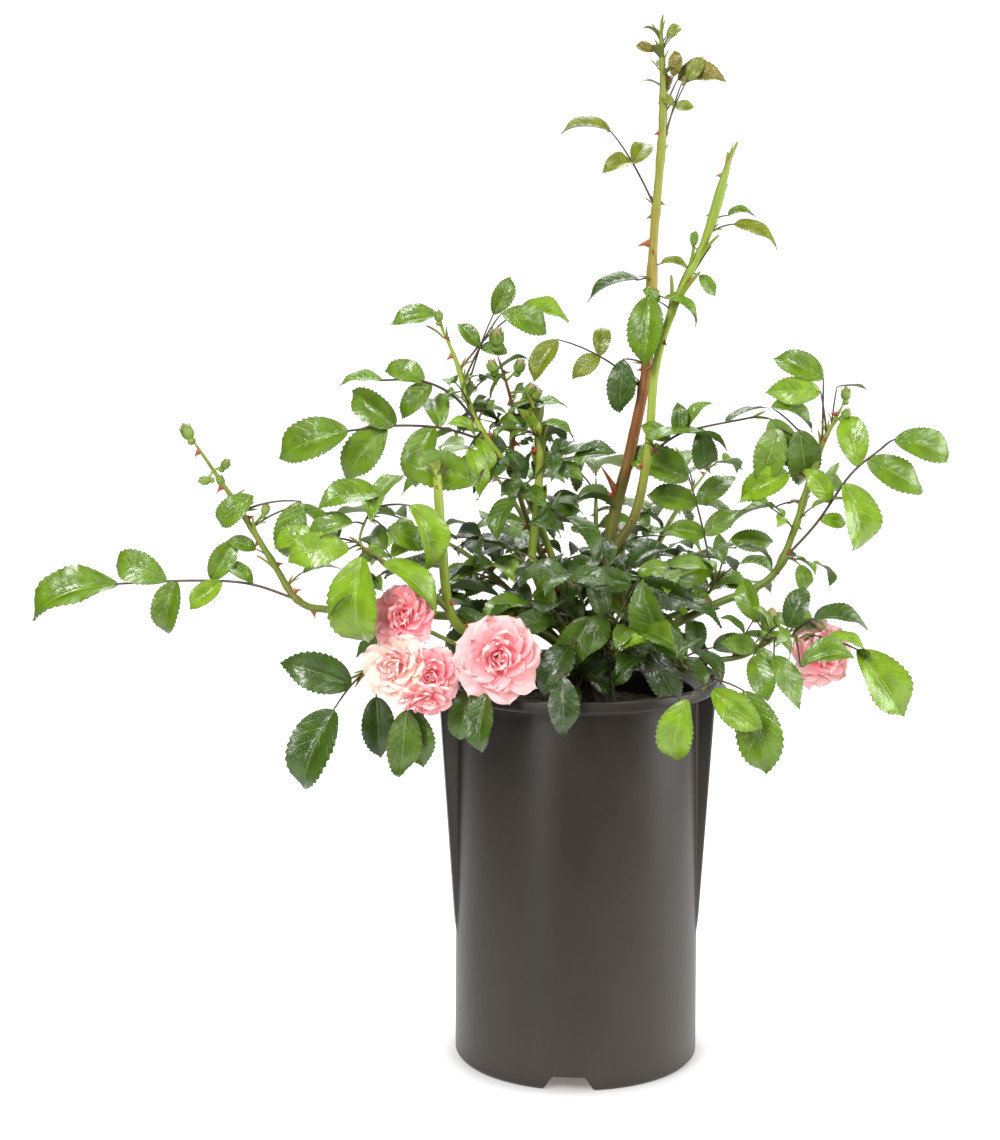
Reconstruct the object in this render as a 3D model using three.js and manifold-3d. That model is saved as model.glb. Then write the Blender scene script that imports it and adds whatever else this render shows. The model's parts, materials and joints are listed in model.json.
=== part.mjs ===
// A young rose bush in a deep nursery pot, in millimetres with +Z up.
// The pot stands on the plane Z = 0, and the origin is the middle of its underside.
// Canes rise from one crown on the compost. Each cane is a bare limb below and a spray
// above: a stem that carries compound leaves, buds and blooms, fused into one solid.
import * as THREE from 'three';
import { mergeVertices } from 'three/addons/utils/BufferGeometryUtils.js';
import Module from 'manifold-3d';

const wasm = await Module();
wasm.setup();

// Pot
const potHeight = 248;
const rimRadius = 90;
const rimBand = 7;
const wall = 2;
const baseRadius = 78;
const shoulderRadius = 76.5;
const footRise = 9;
const padRadius = 47;
const potSides = 34;
const lug = { start: 86, radius: 88.4, halfAngle: 11 };
const notch = { count: 3, top: 20, bottom: 33, height: 8.6, turn: -5 };

// Compost and crown
const soilTop = 224;
const crown = { x: 12, y: 0, height: 39, footRadius: 17, sides: 12, canesAt: 25, canesRadius: 7 };

// Plant
const clearance = 0.35;   // gap kept between one node and the next
const finestEdge = 0.02;  // shorter edges that a join leaves are closed up
const caneSides = 5;
const stemSides = 4;
const twigSides = 3;
const shortStalk = 30;
const shortestStalk = 4;  // below this a leaflet springs from the stem itself
const largeLeaf = 43;
const stalkRadii = [1.15, 1];
const leafSink = 0.3;     // how far a leaflet's root reaches past its stalk's middle
const leafThickness = 1.3;
const leafFold = 0.25;
const largeBlade = { sides: 6, breadth: 0.28, rings: [0.26, 0.64, 1] };
const smallBlade = { sides: 4, breadth: 0.33, rings: [0.36, 1] };
const smallerTries = [1, 0.7];   // sizes tried for an end leaflet that meets another node
const goldenAngle = 137.5;
const leafRule = {
  arch: 0.14,            // a stalk's rise, as a share of its reach
  tilt: [0.25, 0.25, 0.15],
  droop: [0.06, 0.16],
  pairsFrom: 0.78,       // how far down the stalk the pairs reach, as a share shared out among them
  spread: { first: 58, step: 8, stray: 10 },
  pairSize: { first: 0.88, step: 0.14, stray: [0.9, 1.08] },
};
const petals = 5;
const petalCup = 0.12;     // how far the petals' tops rise and dip, as a share of the radius
const budShape = { sides: 5, rings: 3, length: 3.4, sunk: 0.6, stalk: 4, stalkRadii: [1, 0.9] };
const bloomShape = { sides: 8, rings: 4, length: 1.1, sunk: 0.55, stalkRadii: [1.5, 1.3] };

const degrees = Math.PI / 180;
const vector = (list) => new THREE.Vector3(...list);

// The same small random sequence on every run
function dice(seed) {
  let state = seed;
  return (low, high) => {
    state = (state * 16807) % 2147483647;
    return low + (high - low) * (state / 2147483647);
  };
}

// ---- solids from three.js geometries ----

// Moves each vertex of a closed geometry and returns it as a solid
function shaped(geometry, move = () => {}) {
  const plain = new THREE.BufferGeometry();
  plain.setAttribute('position', geometry.attributes.position.clone());
  if (geometry.index) plain.setIndex(geometry.index.clone());
  const place = plain.attributes.position;
  const point = new THREE.Vector3();
  for (let i = 0; i < place.count; i++) {
    move(point.fromBufferAttribute(place, i));
    place.setXYZ(i, point.x, point.y, point.z);
  }
  const merged = mergeVertices(plain, 1e-4);
  const corners = merged.index.array;
  const faces = [];
  for (let i = 0; i < corners.length; i += 3) {
    const [a, b, c] = corners.slice(i, i + 3);
    if (a !== b && b !== c && c !== a) faces.push(a, b, c);
  }
  return new wasm.Manifold(new wasm.Mesh({
    numProp: 3,
    vertProperties: new Float32Array(merged.attributes.position.array),
    triVerts: new Uint32Array(faces),
  }));
}

// A closed profile of [radius, z] turned about the Z axis
function turned(profile, sides) {
  const outline = profile.map(([radius, z]) => new THREE.Vector2(radius, z));
  return shaped(new THREE.LatheGeometry(outline, sides), (p) => p.set(p.x, -p.z, p.y));
}

function meshOf(name, solid, finish) {
  const { vertProperties, triVerts, numProp } = solid.getMesh();
  const geometry = new THREE.BufferGeometry();
  const place = new Float32Array((vertProperties.length / numProp) * 3);
  for (let i = 0; i < place.length / 3; i++) {
    place.set(vertProperties.slice(i * numProp, i * numProp + 3), i * 3);
  }
  geometry.setAttribute('position', new THREE.BufferAttribute(place, 3));
  geometry.setIndex([...triVerts]);
  const mesh = new THREE.Mesh(geometry, new THREE.MeshStandardMaterial(finish));
  mesh.name = name;
  return mesh;
}

// Drops the scraps that a cut leaves
function largest(solid) {
  return solid.decompose().reduce((best, piece) => (piece.volume() > best.volume() ? piece : best));
}

// ---- pieces of a plant ----

function curveThrough(points) {
  return new THREE.CatmullRomCurve3(points.map(vector), false, 'catmullrom', 0.5);
}

// Two directions across a tangent, turned steadily along a path
const reference = new THREE.Vector3(0.25, 0.93, 0.27).normalize();
function frameAcross(along) {
  const side = new THREE.Vector3().crossVectors(along, reference).normalize();
  return [side, new THREE.Vector3().crossVectors(side, along)];
}

// A closed tapering limb along a stretch of a path
function limb(path, { from = 0, to = 1, radii, sides, steps, swell = 0 }) {
  return shaped(new THREE.CylinderGeometry(1, 1, 1, sides, steps), (p) => {
    const share = from + (to - from) * (p.y + 0.5);
    const along = path.getTangent(share);
    const [side, over] = frameAcross(along);
    const radius = THREE.MathUtils.lerp(radii[0], radii[1], share) + swell;
    const { x, z } = p;
    p.copy(path.getPoint(share)).addScaledVector(side, x * radius).addScaledVector(over, z * radius);
  });
}

// A leaflet's half width at a share of its length: broad below the middle, pointed at the tip
const halfWidth = (share) => Math.sin(Math.PI * share ** 0.85);

// A thin blade with its root at base, its length along one direction and its top towards face.
// It is a flattened sphere of two rings, so its faces meet at a root, a tip and two middles.
function leaflet({ base, along, face, length, breadth, droop, sides }, swell = 0) {
  const x = along.clone().normalize();
  const across = new THREE.Vector3().crossVectors(face, x).normalize();
  const upper = new THREE.Vector3().crossVectors(x, across);
  return shaped(new THREE.SphereGeometry(1, sides, 2), (p) => {
    const isMiddle = Math.abs(p.y) > 0.5;
    const share = isMiddle ? 0.34 : ((1 + p.x) / 2) ** 1.15;
    const hand = Math.abs(p.z) < 1e-6 ? 0 : Math.sign(p.z);
    const half = hand * (breadth * length * halfWidth(share) + swell);
    const lift = isMiddle ? -Math.sign(p.y) * (leafThickness / 2 + swell) : 0;
    p.copy(base).addScaledVector(x, share * (length + swell) - leafSink).addScaledVector(across, half)
      .addScaledVector(upper, Math.abs(half) * leafFold + lift - droop * length * share * share);
  });
}

// A stalk that widens into its end leaflet, as one four-sided body.
// The blade's rings are broad and thin, and the last of them is its tip.
function stalkedLeaf(path, { along, face, length, breadth, droop, rings }, swell = 0) {
  const x = along.clone().normalize();
  const across = new THREE.Vector3().crossVectors(x, face).normalize();
  const upper = new THREE.Vector3().crossVectors(across, x);
  const end = path.getPoint(1);
  const stalkSteps = path.getLength() > shortStalk ? 2 : 1;
  const last = stalkSteps + rings.length;
  return shaped(new THREE.CylinderGeometry(1, 1, 1, 4, last), (p) => {
    const ring = Math.round((p.y + 0.5) * last);
    const { x: hand, z: rise } = p;
    if (ring <= stalkSteps) {
      const share = ring / stalkSteps;
      const ahead = path.getTangent(share);
      if (ring === stalkSteps) ahead.add(x).normalize();
      const turn = new THREE.Quaternion().setFromUnitVectors(x, ahead);
      const radius = THREE.MathUtils.lerp(stalkRadii[0], stalkRadii[1], share) + swell;
      p.copy(path.getPoint(share))
        .addScaledVector(across.clone().applyQuaternion(turn), hand * radius)
        .addScaledVector(upper.clone().applyQuaternion(turn), rise * radius);
      return;
    }
    const share = rings[ring - stalkSteps - 1];
    const half = share < 1 ? hand * (breadth * length * halfWidth(share) + swell) : 0;
    const lift = share < 1 ? rise * (leafThickness / 2 + swell) : 0;
    p.copy(end).addScaledVector(x, share * (length + swell)).addScaledVector(across, half)
      .addScaledVector(upper, Math.abs(half) * leafFold + lift - droop * length * share * share);
  });
}

// A round or pointed body on a stalk, with its axis along one direction
function rounded({ base, along, radius, length, sides, rings }, outline, swell = 0) {
  const axis = along.clone().normalize();
  const [side, over] = frameAcross(axis);
  return shaped(new THREE.SphereGeometry(1, sides, rings), (p) => {
    const share = (1 + p.y) / 2;
    const angle = Math.atan2(p.z, p.x);
    const isPole = Math.hypot(p.x, p.z) < 1e-6;
    const reach = isPole ? 0 : (radius + swell) * outline(share, angle);
    const cup = isPole || share < 0.5 ? 0 : petalCup * radius * Math.sin(petals * angle);
    p.copy(base).addScaledVector(axis, share * length + cup);
    p.addScaledVector(side, reach * Math.cos(angle)).addScaledVector(over, reach * Math.sin(angle));
  });
}

const budOutline = (share) => Math.sin(Math.PI * share ** 0.7) * (1.15 - 0.45 * share);
const bloomOutline = (share, angle) =>
  Math.sin(Math.PI * (0.12 + 0.8 * share)) * (1 + 0.09 * Math.cos(petals * angle + 9 * share));

// ---- the plant's plan ----

// Ways that a leaf's upper side can look
const front = [0, -1, 0.4];
const above = [0, -0.45, 1];
const left = [-0.7, -0.7, 0.5];
const right = [0.7, -0.7, 0.5];

// One compound leaf: where on its stem, its stalk's reach, its end leaflet's length and its pairs
const leaf = (at, to, size, pairs = 0, face = front, aim = null) => ({ at, to, size, pairs, face, aim });
const bud = (at, to, radius) => ({ at, to, radius });
const bloom = (at, to, radius, aim) => ({ at, to, radius, aim });

// A cane's foot in the crown, on the side that it leaves by
function foot(azimuth) {
  const turn = azimuth * degrees;
  return [
    crown.x + crown.canesRadius * Math.cos(turn),
    crown.y + crown.canesRadius * Math.sin(turn),
    soilTop + crown.canesAt,
  ];
}

// Each cane: its path from the crown, its radii, the share where its spray starts, and what that carries
const canes = [
  {
    name: 'front_spray', bark: 'green', radii: [2, 1.2], split: 0, seed: 139,
    path: [foot(275), [14, -32, 266], [19, -50, 284], [30, -64, 312]],
    leaves: [
      leaf(1, [4, -6, 6], 34, 0, front, [1, 0, -0.4]),
      leaf(0.93, [3, -6, 10], 32, 0, front, [-1, 0, 0.05]),
      leaf(0.84, [16, -4, 0], 36, 1, front, [0.6, -0.3, -0.8]),
      leaf(0.77, [-16, -10, 4], 38, 1, front, [-0.5, -0.2, -0.8]),
      leaf(0.6, [-24, -26, 0], 36, 0, front, [-0.5, -0.55, -0.6]),
      leaf(0.36, [-28, -60, -8], 26, 0, front, [0.1, -0.2, -1]),
      leaf(0.46, [8, -40, -4], 34, 0, front, [0.3, -0.4, -0.9]),
      leaf(0.68, [22, -16, -10], 36, 0, front, [0.5, -0.3, -0.9]),
    ],
  },
  {
    name: 'tall_cane', spray: 'tall_cane_spray', bark: 'red', radii: [4.4, 1.9], split: 0.44, seed: 11,
    path: [foot(20), [21, 4, 334], [33, 4, 390], [43, 0, 448], [46, 0, 520], [51, 0, 594], [49, 0, 654]],
    leaves: [
      leaf(0.45, [-54, -12, 31], 29, 1, front, [-0.6, 0, -1]),
      leaf(0.49, [-15, -6, 4], 34, 0, front, [-0.1, 0, -1]),
      leaf(0.6, [-3, -17, -3], 41, 0, front, [-0.1, -0.1, -1]),
      leaf(0.615, [-8, -9, 0], 34, 0, above, [-1, 0, -0.1]),
      leaf(0.585, [6, -24, 3], 28, 0, above, [1, 0, -0.5]),
      leaf(0.63, [5, -2, 3], 19, 0, above, [1, 0, 0.05]),
      leaf(0.71, [-28, 5, 48], 36, 1, front, [-1, 0, 0.1]),
      leaf(0.78, [12, 0, 44], 26, 0, front, [1, 0, 0.02]),
      leaf(0.84, [9, 3, 22], 25, 0, front, [1, 0, 0.45]),
      leaf(0.87, [6, -2, 12], 16, 0, front, [0.1, 0, 1]),
      leaf(0.93, [-5, 0, 6], 12, 0, front, [-0.9, 0, 0.4]),
      leaf(0.96, [3, 0, 4], 13, 0, front, [0.8, 0, 0.7]),
    ],
  },
  {
    name: 'forked_cane', spray: 'forked_cane_spray', bark: 'green', radii: [3.6, 1.9], split: 0.465, seed: 23,
    path: [
      foot(250), [12, -12, 292], [18, -9, 322], [35, -9, 350], [43, -11, 392],
      [47, -12, 442], [58, -15, 481], [78, -15, 525], [93, -15, 580],
    ],
    twigs: [{
      at: 0.485, radii: [1.3, 0.9], path: [[0, 0, 0], [13, -6, 12], [28, -8, 19], [66, -10, 27]],
      leaves: [
        leaf(0.14, [1, -17, -3], 50, 0, front, [1, 0, 0.05]),
        leaf(0.36, [-1, 0, 2], 20, 0, front, [-0.9, 0, 0.5]),
        leaf(0.48, [0, 0, 2], 20, 0, front, [0.1, 0, 1]),
        leaf(0.62, [-1, 0, 2], 23, 0, above, [0.5, 0, 0.8]),
        leaf(0.72, [2, -1, -1], 30, 0, front, [0.1, 0, -1]),
        leaf(0.85, [2, 0, 1], 27, 0, above, [0.9, 0, 0.5]),
        leaf(0.98, [12, 0, -1], 34, 0, front, [0.5, 0, -1]),
      ],
    }],
    leaves: [
      leaf(0.875, [16, 0, 6], 30, 0, front, [1, 0, -0.45]),
      leaf(0.895, [10, 4, 3], 18, 0, above, [1, 0.2, 0.3]),
      leaf(0.845, [-4, -1, 10], 24, 0, front, [0.05, 0, 1]),
      leaf(0.81, [6, -2, -1], 16, 0, front, [0.6, 0, -0.8]),
      leaf(0.74, [-8, -2, 6], 14, 0, front, [-0.6, 0, 0.8]),
    ],
  },
  {
    name: 'left_arch', spray: 'left_arch_spray', bark: 'green', radii: [3, 1.4], split: 0.565, seed: 37,
    path: [
      foot(215), [-30, -35, 284], [-100, -60, 297], [-150, -64, 300], [-171, -65, 306],
      [-187, -62, 330], [-208, -60, 364], [-235, -60, 405],
    ],
    twigs: [{
      at: 0.578, radii: [1.3, 1], path: [[0, 0, 0], [-30, 4, 9], [-66, 9, 10], [-113, 15, 7]],
      leaves: [
        leaf(0.98, [-1, 0, 0], 56, 0, front, [-1, 0, -0.3]),
        leaf(0.77, [-1, 1, 2], 38, 0, front, [-0.9, 0, 0.45]),
        leaf(0.73, [0, -1, -2], 35, 0, front, [-0.25, 0, -1]),
        leaf(0.55, [0, 1, 3], 28, 0, front, [0.5, 0, 0.8]),
        leaf(0.49, [0, -1, -2], 25, 0, front, [-0.75, 0, -0.6]),
        leaf(0.3, [0, 1, 3], 22, 0, above, [-0.5, 0, 0.6]),
      ],
    }],
    leaves: [
      leaf(0.87, [13, -4, 2], 30, 0, front, [-0.9, 0, -0.65]),
      leaf(0.84, [36, 2, 6], 36, 0, front, [-0.35, 0, -1]),
      leaf(0.8, [26, 8, 12], 30, 0, above, [0.9, 0, -0.5]),
      leaf(0.72, [-9, 4, 5], 18, 0, left, [-1, 0, 0.3]),
      leaf(0.63, [9, 6, 8], 22, 0, above, [1, 0, 0.3]),
    ],
    buds: [
      bud(1, [-1, 0, 1], 4.2), bud(0.93, [-4, -1, -6], 3), bud(0.93, [7, -3, 3], 3),
      bud(0.88, [-5, 1, 7], 2.8), bud(0.8, [8, 2, 10], 2.8),
    ],
  },
  {
    name: 'left_stump', bark: 'green', radii: [3.4, 2.7], split: 1,
    path: [
      foot(205), [-38, -42, 273], [-64, -60, 283], [-79, -70, 300], [-84, -67, 342], [-87, -61, 385],
    ],
    side: {
      spray: 'bright_left_spray', at: 0.6, radii: [1.7, 1.1], seed: 41,
      path: [[0, 0, 0], [-16, -10, 17], [-36, -16, 31], [-53, -14, 43], [-48, -4, 62]],
      leaves: [
        leaf(0.7, [0, -15, -2], 58, 0, front, [-0.12, 0, -1]),
        leaf(0.74, [-6, -8, -1], 38, 0, front, [-1, 0, -0.1]),
        leaf(0.62, [6, -8, -4], 44, 0, above, [0.9, 0, -0.5]),
        leaf(0.9, [-6, -6, 2], 31, 0, left, [-0.9, 0, -0.35]),
        leaf(1, [8, -8, 10], 38, 1, above, [-1, -0.2, -0.15]),
        leaf(0.95, [12, -12, -6], 30, 0, front, [0.9, 0, -0.3]),
        leaf(1, [24, -8, 4], 42, 0, right, [0.4, 0, -1]),
        leaf(0.45, [-6, 10, 10], 30, 1, above),
      ],
    },
  },
  {
    name: 'upper_left_cane', spray: 'upper_left_spray', bark: 'green',
    radii: [2.6, 1.3], split: 0.45, seed: 53,
    path: [
      foot(150), [-8, -2, 300], [-32, -10, 363], [-57, -15, 399], [-68, -8, 420],
      [-76, -3, 446], [-87, 0, 471],
    ],
    twigs: [
      {
        at: 0.49, radii: [1.3, 1], path: [[0, 0, 0], [-28, -5, 9], [-58, -9, 11], [-87, -12, 8]],
        leaves: [
          leaf(0.99, [-1, 0, 0], 49, 0, front, [-1, 0, -0.25]),
          leaf(0.72, [0, 0, -2], 42, 0, front, [-0.75, 0, -0.8]),
          leaf(0.66, [0, 0, 2], 36, 0, front, [-0.7, 0, 0.5]),
          leaf(0.4, [0, 0, -2], 40, 0, front, [-0.4, -0.1, -1]),
          leaf(0.36, [0, 0, 2], 30, 0, above, [-0.2, 0.6, 0.8]),
        ],
      },
      {
        at: 0.57, radii: [1.3, 1], path: [[0, 0, 0], [-16, -1, 18], [-36, -4, 27], [-60, -2, 27]],
        leaves: [
          leaf(0.99, [-1, 0, 0], 25, 0, above, [-1, 0, 0.1]),
          leaf(0.62, [0, 0, 2], 28, 0, front, [-0.8, 0, 0.6]),
          leaf(0.55, [0, 0, -2], 28, 0, front, [-0.8, 0, -0.7]),
        ],
      },
    ],
    leaves: [
      leaf(0.46, [-10, -30, -16], 46, 0, front, [-1, 0, 0.25]),
      leaf(0.53, [-8, -22, -8], 34, 1, right, [0.4, -0.3, -0.8]),
      leaf(0.62, [6, -6, 4], 20, 0, above, [1, 0, 0.1]),
      leaf(0.71, [17, 2, 49], 25, 1, front, [0.5, 0, 0.9]),
      leaf(0.75, [24, -6, 44], 34, 0, front, [1, 0, -0.3]),
      leaf(0.8, [36, 6, 36], 32, 0, above, [1, 0.2, -0.1]),
      leaf(0.97, [-3, 0, 9], 28, 0, front, [-1, 0, -0.12]),
      leaf(0.66, [-10, 14, 6], 28, 1, above),
    ],
    buds: [bud(1, [0, 0, 2], 3), bud(0.7, [2, -3, 5], 3)],
  },
  {
    name: 'bud_cane', spray: 'bud_cane_spray', bark: 'red', radii: [2.1, 1.2], split: 0.62, seed: 61,
    path: [foot(110), [-8, 10, 300], [-27, 6, 334], [-41, 2, 380], [-41, 0, 416], [-51, 0, 452]],
    leaves: [
      leaf(0.72, [-10, -4, 8], 20, 0, above, [-0.9, 0, 0.4]),
      leaf(0.76, [10, -4, 8], 24, 1, above, [0.9, 0, 0.4]),
      leaf(0.7, [14, 12, 2], 28, 1, above),
      leaf(0.66, [-6, -12, -2], 30, 1, front),
    ],
    buds: [
      bud(1, [0, 0, 5], 5), bud(0.9, [-7, -2, 5], 3.4), bud(0.9, [8, -2, 5], 3.6),
      bud(0.86, [11, 2, -2], 3.4), bud(0.82, [14, -1, 2], 3.4),
    ],
  },
  {
    name: 'middle_stub', spray: 'middle_stub_spray', bark: 'green', radii: [2.8, 2.2], split: 0.5, seed: 71,
    path: [foot(262), [-12, -18, 285], [-28, -20, 320], [-26, -20, 360], [-24, -20, 389], [-26, -20, 410]],
    leaves: [
      leaf(0.98, [4, -3, 2], 22, 0, above, [1, 0, -0.15]),
      leaf(0.96, [-4, 3, 2], 20, 0, above, [-1, 0, 0.1]),
      leaf(0.8, [14, -4, 2], 28, 1, above, [1, 0, 0.1]),
      leaf(0.74, [10, 12, -2], 30, 1, above),
      leaf(0.66, [-12, -10, -4], 32, 1, left),
      leaf(0.6, [16, -14, -8], 34, 1, right),
    ],
  },
  {
    name: 'right_arch', spray: 'right_arch_spray', bark: 'green', radii: [3, 1.4], split: 0.4, seed: 83,
    path: [
      foot(340), [45, -13, 273], [80, -20, 294], [118, -25, 313], [133, -23, 342],
      [142, -21, 372], [151, -20, 398], [164, -20, 424],
    ],
    twigs: [{
      at: 0.49, radii: [1.3, 1], path: [[0, 0, 0], [20, -5, 24], [40, -6, 54], [60, -5, 71]],
      leaves: [
        leaf(0.99, [7, 0, 5], 40, 0, front, [1, 0, -0.25]),
        leaf(0.83, [2, 0, -1], 42, 0, front, [1, 0, -0.55]),
        leaf(0.74, [-1, 0, 3], 35, 0, front, [-0.15, 0, 1]),
        leaf(0.6, [1, -2, -2], 48, 0, front, [0.35, 0, -1]),
        leaf(0.47, [-2, 0, 3], 26, 0, front, [-0.6, 0, 0.9]),
        leaf(0.36, [2, -1, 0], 18, 0, front, [0.9, 0, -0.1]),
      ],
    }],
    leaves: [
      leaf(0.845, [0, 0, 41], 33, 0, front, [-0.9, 0, 0.5]),
      leaf(0.88, [-5, -5, 27], 32, 0, front, [-1, 0, 0.05]),
      leaf(0.91, [3, 1, 24], 18, 0, front, [1, 0, 0.3]),
      leaf(0.73, [-14, -5, 4], 34, 0, front, [-1, 0, -0.5]),
      leaf(0.66, [-16, 8, -4], 30, 0, above, [-1, 0.3, -0.2]),
      leaf(0.5, [9, -6, -4], 21, 0, front, [0.3, 0, -1]),
      leaf(0.6, [8, -6, 10], 24, 0, above, [1, 0, 0.2]),
      leaf(0.66, [10, 16, 8], 32, 0, right),
    ],
    buds: [bud(1, [0, 0, 2], 3.4), bud(0.93, [6, -1, 3], 3)],
  },
  {
    name: 'right_middle_cane', spray: 'right_middle_spray', bark: 'red',
    radii: [2, 1.3], split: 0.62, seed: 97,
    path: [foot(30), [50, 12, 278], [76, 14, 290], [90, 12, 306]],
    leaves: [
      leaf(0.94, [-17, 0, 69], 44, 2, front, [-1, 0, 0.35]),
      leaf(0.98, [8, -3, 28], 26, 0, front, [1, 0, -0.1]),
      leaf(1, [14, -2, 12], 26, 0, above, [1, 0, -0.2]),
      leaf(0.9, [-18, -10, 8], 27, 1, above, [-1, 0, 0.2]),
      leaf(0.86, [18, 16, 2], 34, 1, above),
      leaf(0.76, [8, 18, 10], 34, 1, above),
    ],
  },
  {
    name: 'lower_right_cane', spray: 'lower_right_spray', bark: 'red',
    radii: [2.2, 1.3], split: 0.5, seed: 101,
    path: [
      foot(315), [42, -29, 264], [75, -42, 265], [100, -49, 269], [121, -50, 281], [138, -48, 280],
    ],
    leaves: [
      leaf(0.82, [4, -4, 6], 28, 0, front, [0.4, 0, 1]),
      leaf(0.74, [-8, -6, 14], 28, 0, left, [-0.4, 0, 1]),
      leaf(0.9, [12, -8, 12], 34, 0, above, [1, 0, 0.1]),
      leaf(0.96, [14, -14, 2], 32, 0, above, [1, 0, -0.15]),
      leaf(1, [31, -6, -6], 50, 0, front, [0.7, 0, -1]),
      leaf(0.93, [0, -24, -14], 31, 0, above, [1, 0, 0.1]),
      leaf(0.7, [-6, -12, -4], 30, 1, front, [0.2, -0.5, -0.7]),
      leaf(0.78, [-2, -16, -8], 34, 0, front, [0.5, -0.3, -0.9]),
      leaf(0.86, [10, 18, 4], 34, 1, above),
    ],
    buds: [bud(0.68, [6, -6, 16], 6)],
    blooms: [bloom(1, [12, 0, -10], 19, [0.3, -1, 0.2])],
  },
  {
    name: 'front_right_cane', spray: 'front_right_spray', bark: 'green',
    radii: [2, 1.3], split: 0.6, seed: 113,
    path: [foot(300), [38, -38, 266], [60, -64, 264], [76, -80, 257]],
    leaves: [
      leaf(1, [-14, -22, -4], 42, 0, front, [-0.4, -0.1, -1]),
      leaf(0.93, [4, -22, -1], 36, 0, front, [0.7, -0.1, -0.6]),
      leaf(0.86, [27, -14, -5], 50, 0, front, [0.22, 0, -1]),
      leaf(0.78, [-2, -12, 8], 44, 0, above, [-0.9, 0, 0.5]),
      leaf(0.72, [-12, -8, 18], 40, 0, left, [-0.3, 0, 1]),
      leaf(0.68, [-22, -18, 2], 34, 0, front, [-0.6, -0.3, -0.9]),
    ],
  },
  {
    name: 'bloom_cane', spray: 'bloom_cane_spray', bark: 'green', radii: [2.3, 1.5], split: 0.6, seed: 127,
    path: [foot(232), [-22, -32, 266], [-44, -54, 270], [-66, -68, 276]],
    leaves: [
      leaf(0.7, [6, -42, -20], 32, 0, front, [-0.2, -0.1, -1]),
      leaf(0.76, [-16, -22, -16], 34, 0, front, [-0.3, -0.3, -1]),
      leaf(0.9, [4, -12, 18], 34, 1, above, [0.9, 0, 0.3]),
    ],
    blooms: [
      bloom(0.93, [12, -34, 3], 26, [0.05, -1, 0.3]),
      bloom(1, [-41, -26, 26], 18, [-0.1, -1, 0.35]),
      bloom(1, [-47, -32, -4], 19, [-0.4, -1, 0.1]),
      bloom(0.96, [-27, -22, -8], 17, [-0.1, -1, 0]),
    ],
  },
  {
    name: 'lower_left_cane', spray: 'lower_left_spray', bark: 'green',
    radii: [2.1, 1.2], split: 0.5, seed: 131,
    path: [foot(214), [-48, -40, 260], [-88, -50, 264], [-114, -55, 267], [-131, -66, 262]],
    leaves: [
      leaf(1, [-18, -14, -20], 54, 0, front, [-0.45, -0.1, -1]),
      leaf(0.96, [-10, -10, -7], 44, 0, front, [-1, 0, 0.32]),
      leaf(0.9, [1, -16, -15], 38, 0, front, [0, -0.05, -1]),
      leaf(0.54, [-12, -38, -21], 42, 0, front, [-0.12, -0.1, -1]),
      leaf(0.6, [-4, -26, -24], 36, 0, front, [0.3, -0.3, -1]),
      leaf(0.7, [-6, 12, 8], 34, 1, above),
    ],
  },
];

// Short leafy shoots that fill the middle and the far side, on a spiral about the crown
const fillShoots = { count: 7, reach: [62, 86], rise: [34, 104], radii: [1.9, 1.1], leaves: 4, split: 0 };
// Longer arching shoots at the back, with their azimuth, reach and height over the compost
const backShoots = [
  { azimuth: 52, reach: 128, rise: 118 },
  { azimuth: 88, reach: 122, rise: 112 },
  { azimuth: 122, reach: 138, rise: 124 },
  { azimuth: 158, reach: 128, rise: 88 },
];

// A shoot with no plan of its own: an even spiral of compound leaves about an arching stem
function spiralShoot(name, { azimuth, reach, rise, leaves, size, radii, split, seed }) {
  const roll = dice(seed);
  const turn = azimuth * degrees;
  const ahead = [Math.cos(turn), Math.sin(turn)];
  const at = (share, height) => [
    crown.x + ahead[0] * reach * share, crown.y + ahead[1] * reach * share, soilTop + height,
  ];
  const path = [foot(azimuth), at(0.3, 30 + rise * 0.3), at(0.66, 30 + rise * 0.72), at(1, 26 + rise)];
  const rows = [];
  for (let i = 0; i < leaves; i++) {
    const first = Math.max(split + 0.06, 0.4);
    const share = first + (1 - first) * (i / (leaves - 1));
    const heading = turn + (i * goldenAngle + roll(-14, 14)) * degrees;
    const way = share > 0.97 ? [...ahead, 0.25] : [Math.cos(heading), Math.sin(heading), roll(0.1, 0.6)];
    const stalk = size * roll(0.75, 1.1);
    rows.push(leaf(
      Math.min(share, 1), way.map((part) => part * stalk), size * roll(0.85, 1.1), 1,
      [way[0] * 0.4, way[1] * 0.4 - 0.25, 1],
    ));
  }
  const spray = split ? `${name}_spray` : name;
  return { name, spray, bark: 'green', radii, split, seed, path, leaves: rows };
}

for (let i = 0; i < fillShoots.count; i++) {
  const roll = dice(500 + 7 * i);
  canes.push(spiralShoot(`inner_spray_${i + 1}`, {
    ...fillShoots, azimuth: i * goldenAngle + 65, reach: roll(...fillShoots.reach),
    rise: roll(...fillShoots.rise), size: 35, seed: 900 + i,
  }));
}
backShoots.forEach((shoot, i) => canes.push(spiralShoot(`back_cane_${i + 1}`, {
  ...shoot, leaves: 5, size: 40, radii: [2.4, 1.2], split: 0.4, seed: 1300 + i,
})));

// ---- growing a spray ----

const standing = [];   // every piece set so far, with the node that owns it

function stand(owner, solid) {
  standing.push({ owner, solid, box: solid.boundingBox() });
}

const boxesMeet = (a, b) => [0, 1, 2].every((k) => a.min[k] <= b.max[k] && b.min[k] <= a.max[k]);

// True where a piece would touch another node
function meetsOthers(owner, probe) {
  const box = probe.boundingBox();
  return standing.some((other) => other.owner !== owner && boxesMeet(box, other.box)
    && !probe.intersect(other.solid).isEmpty());
}

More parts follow.
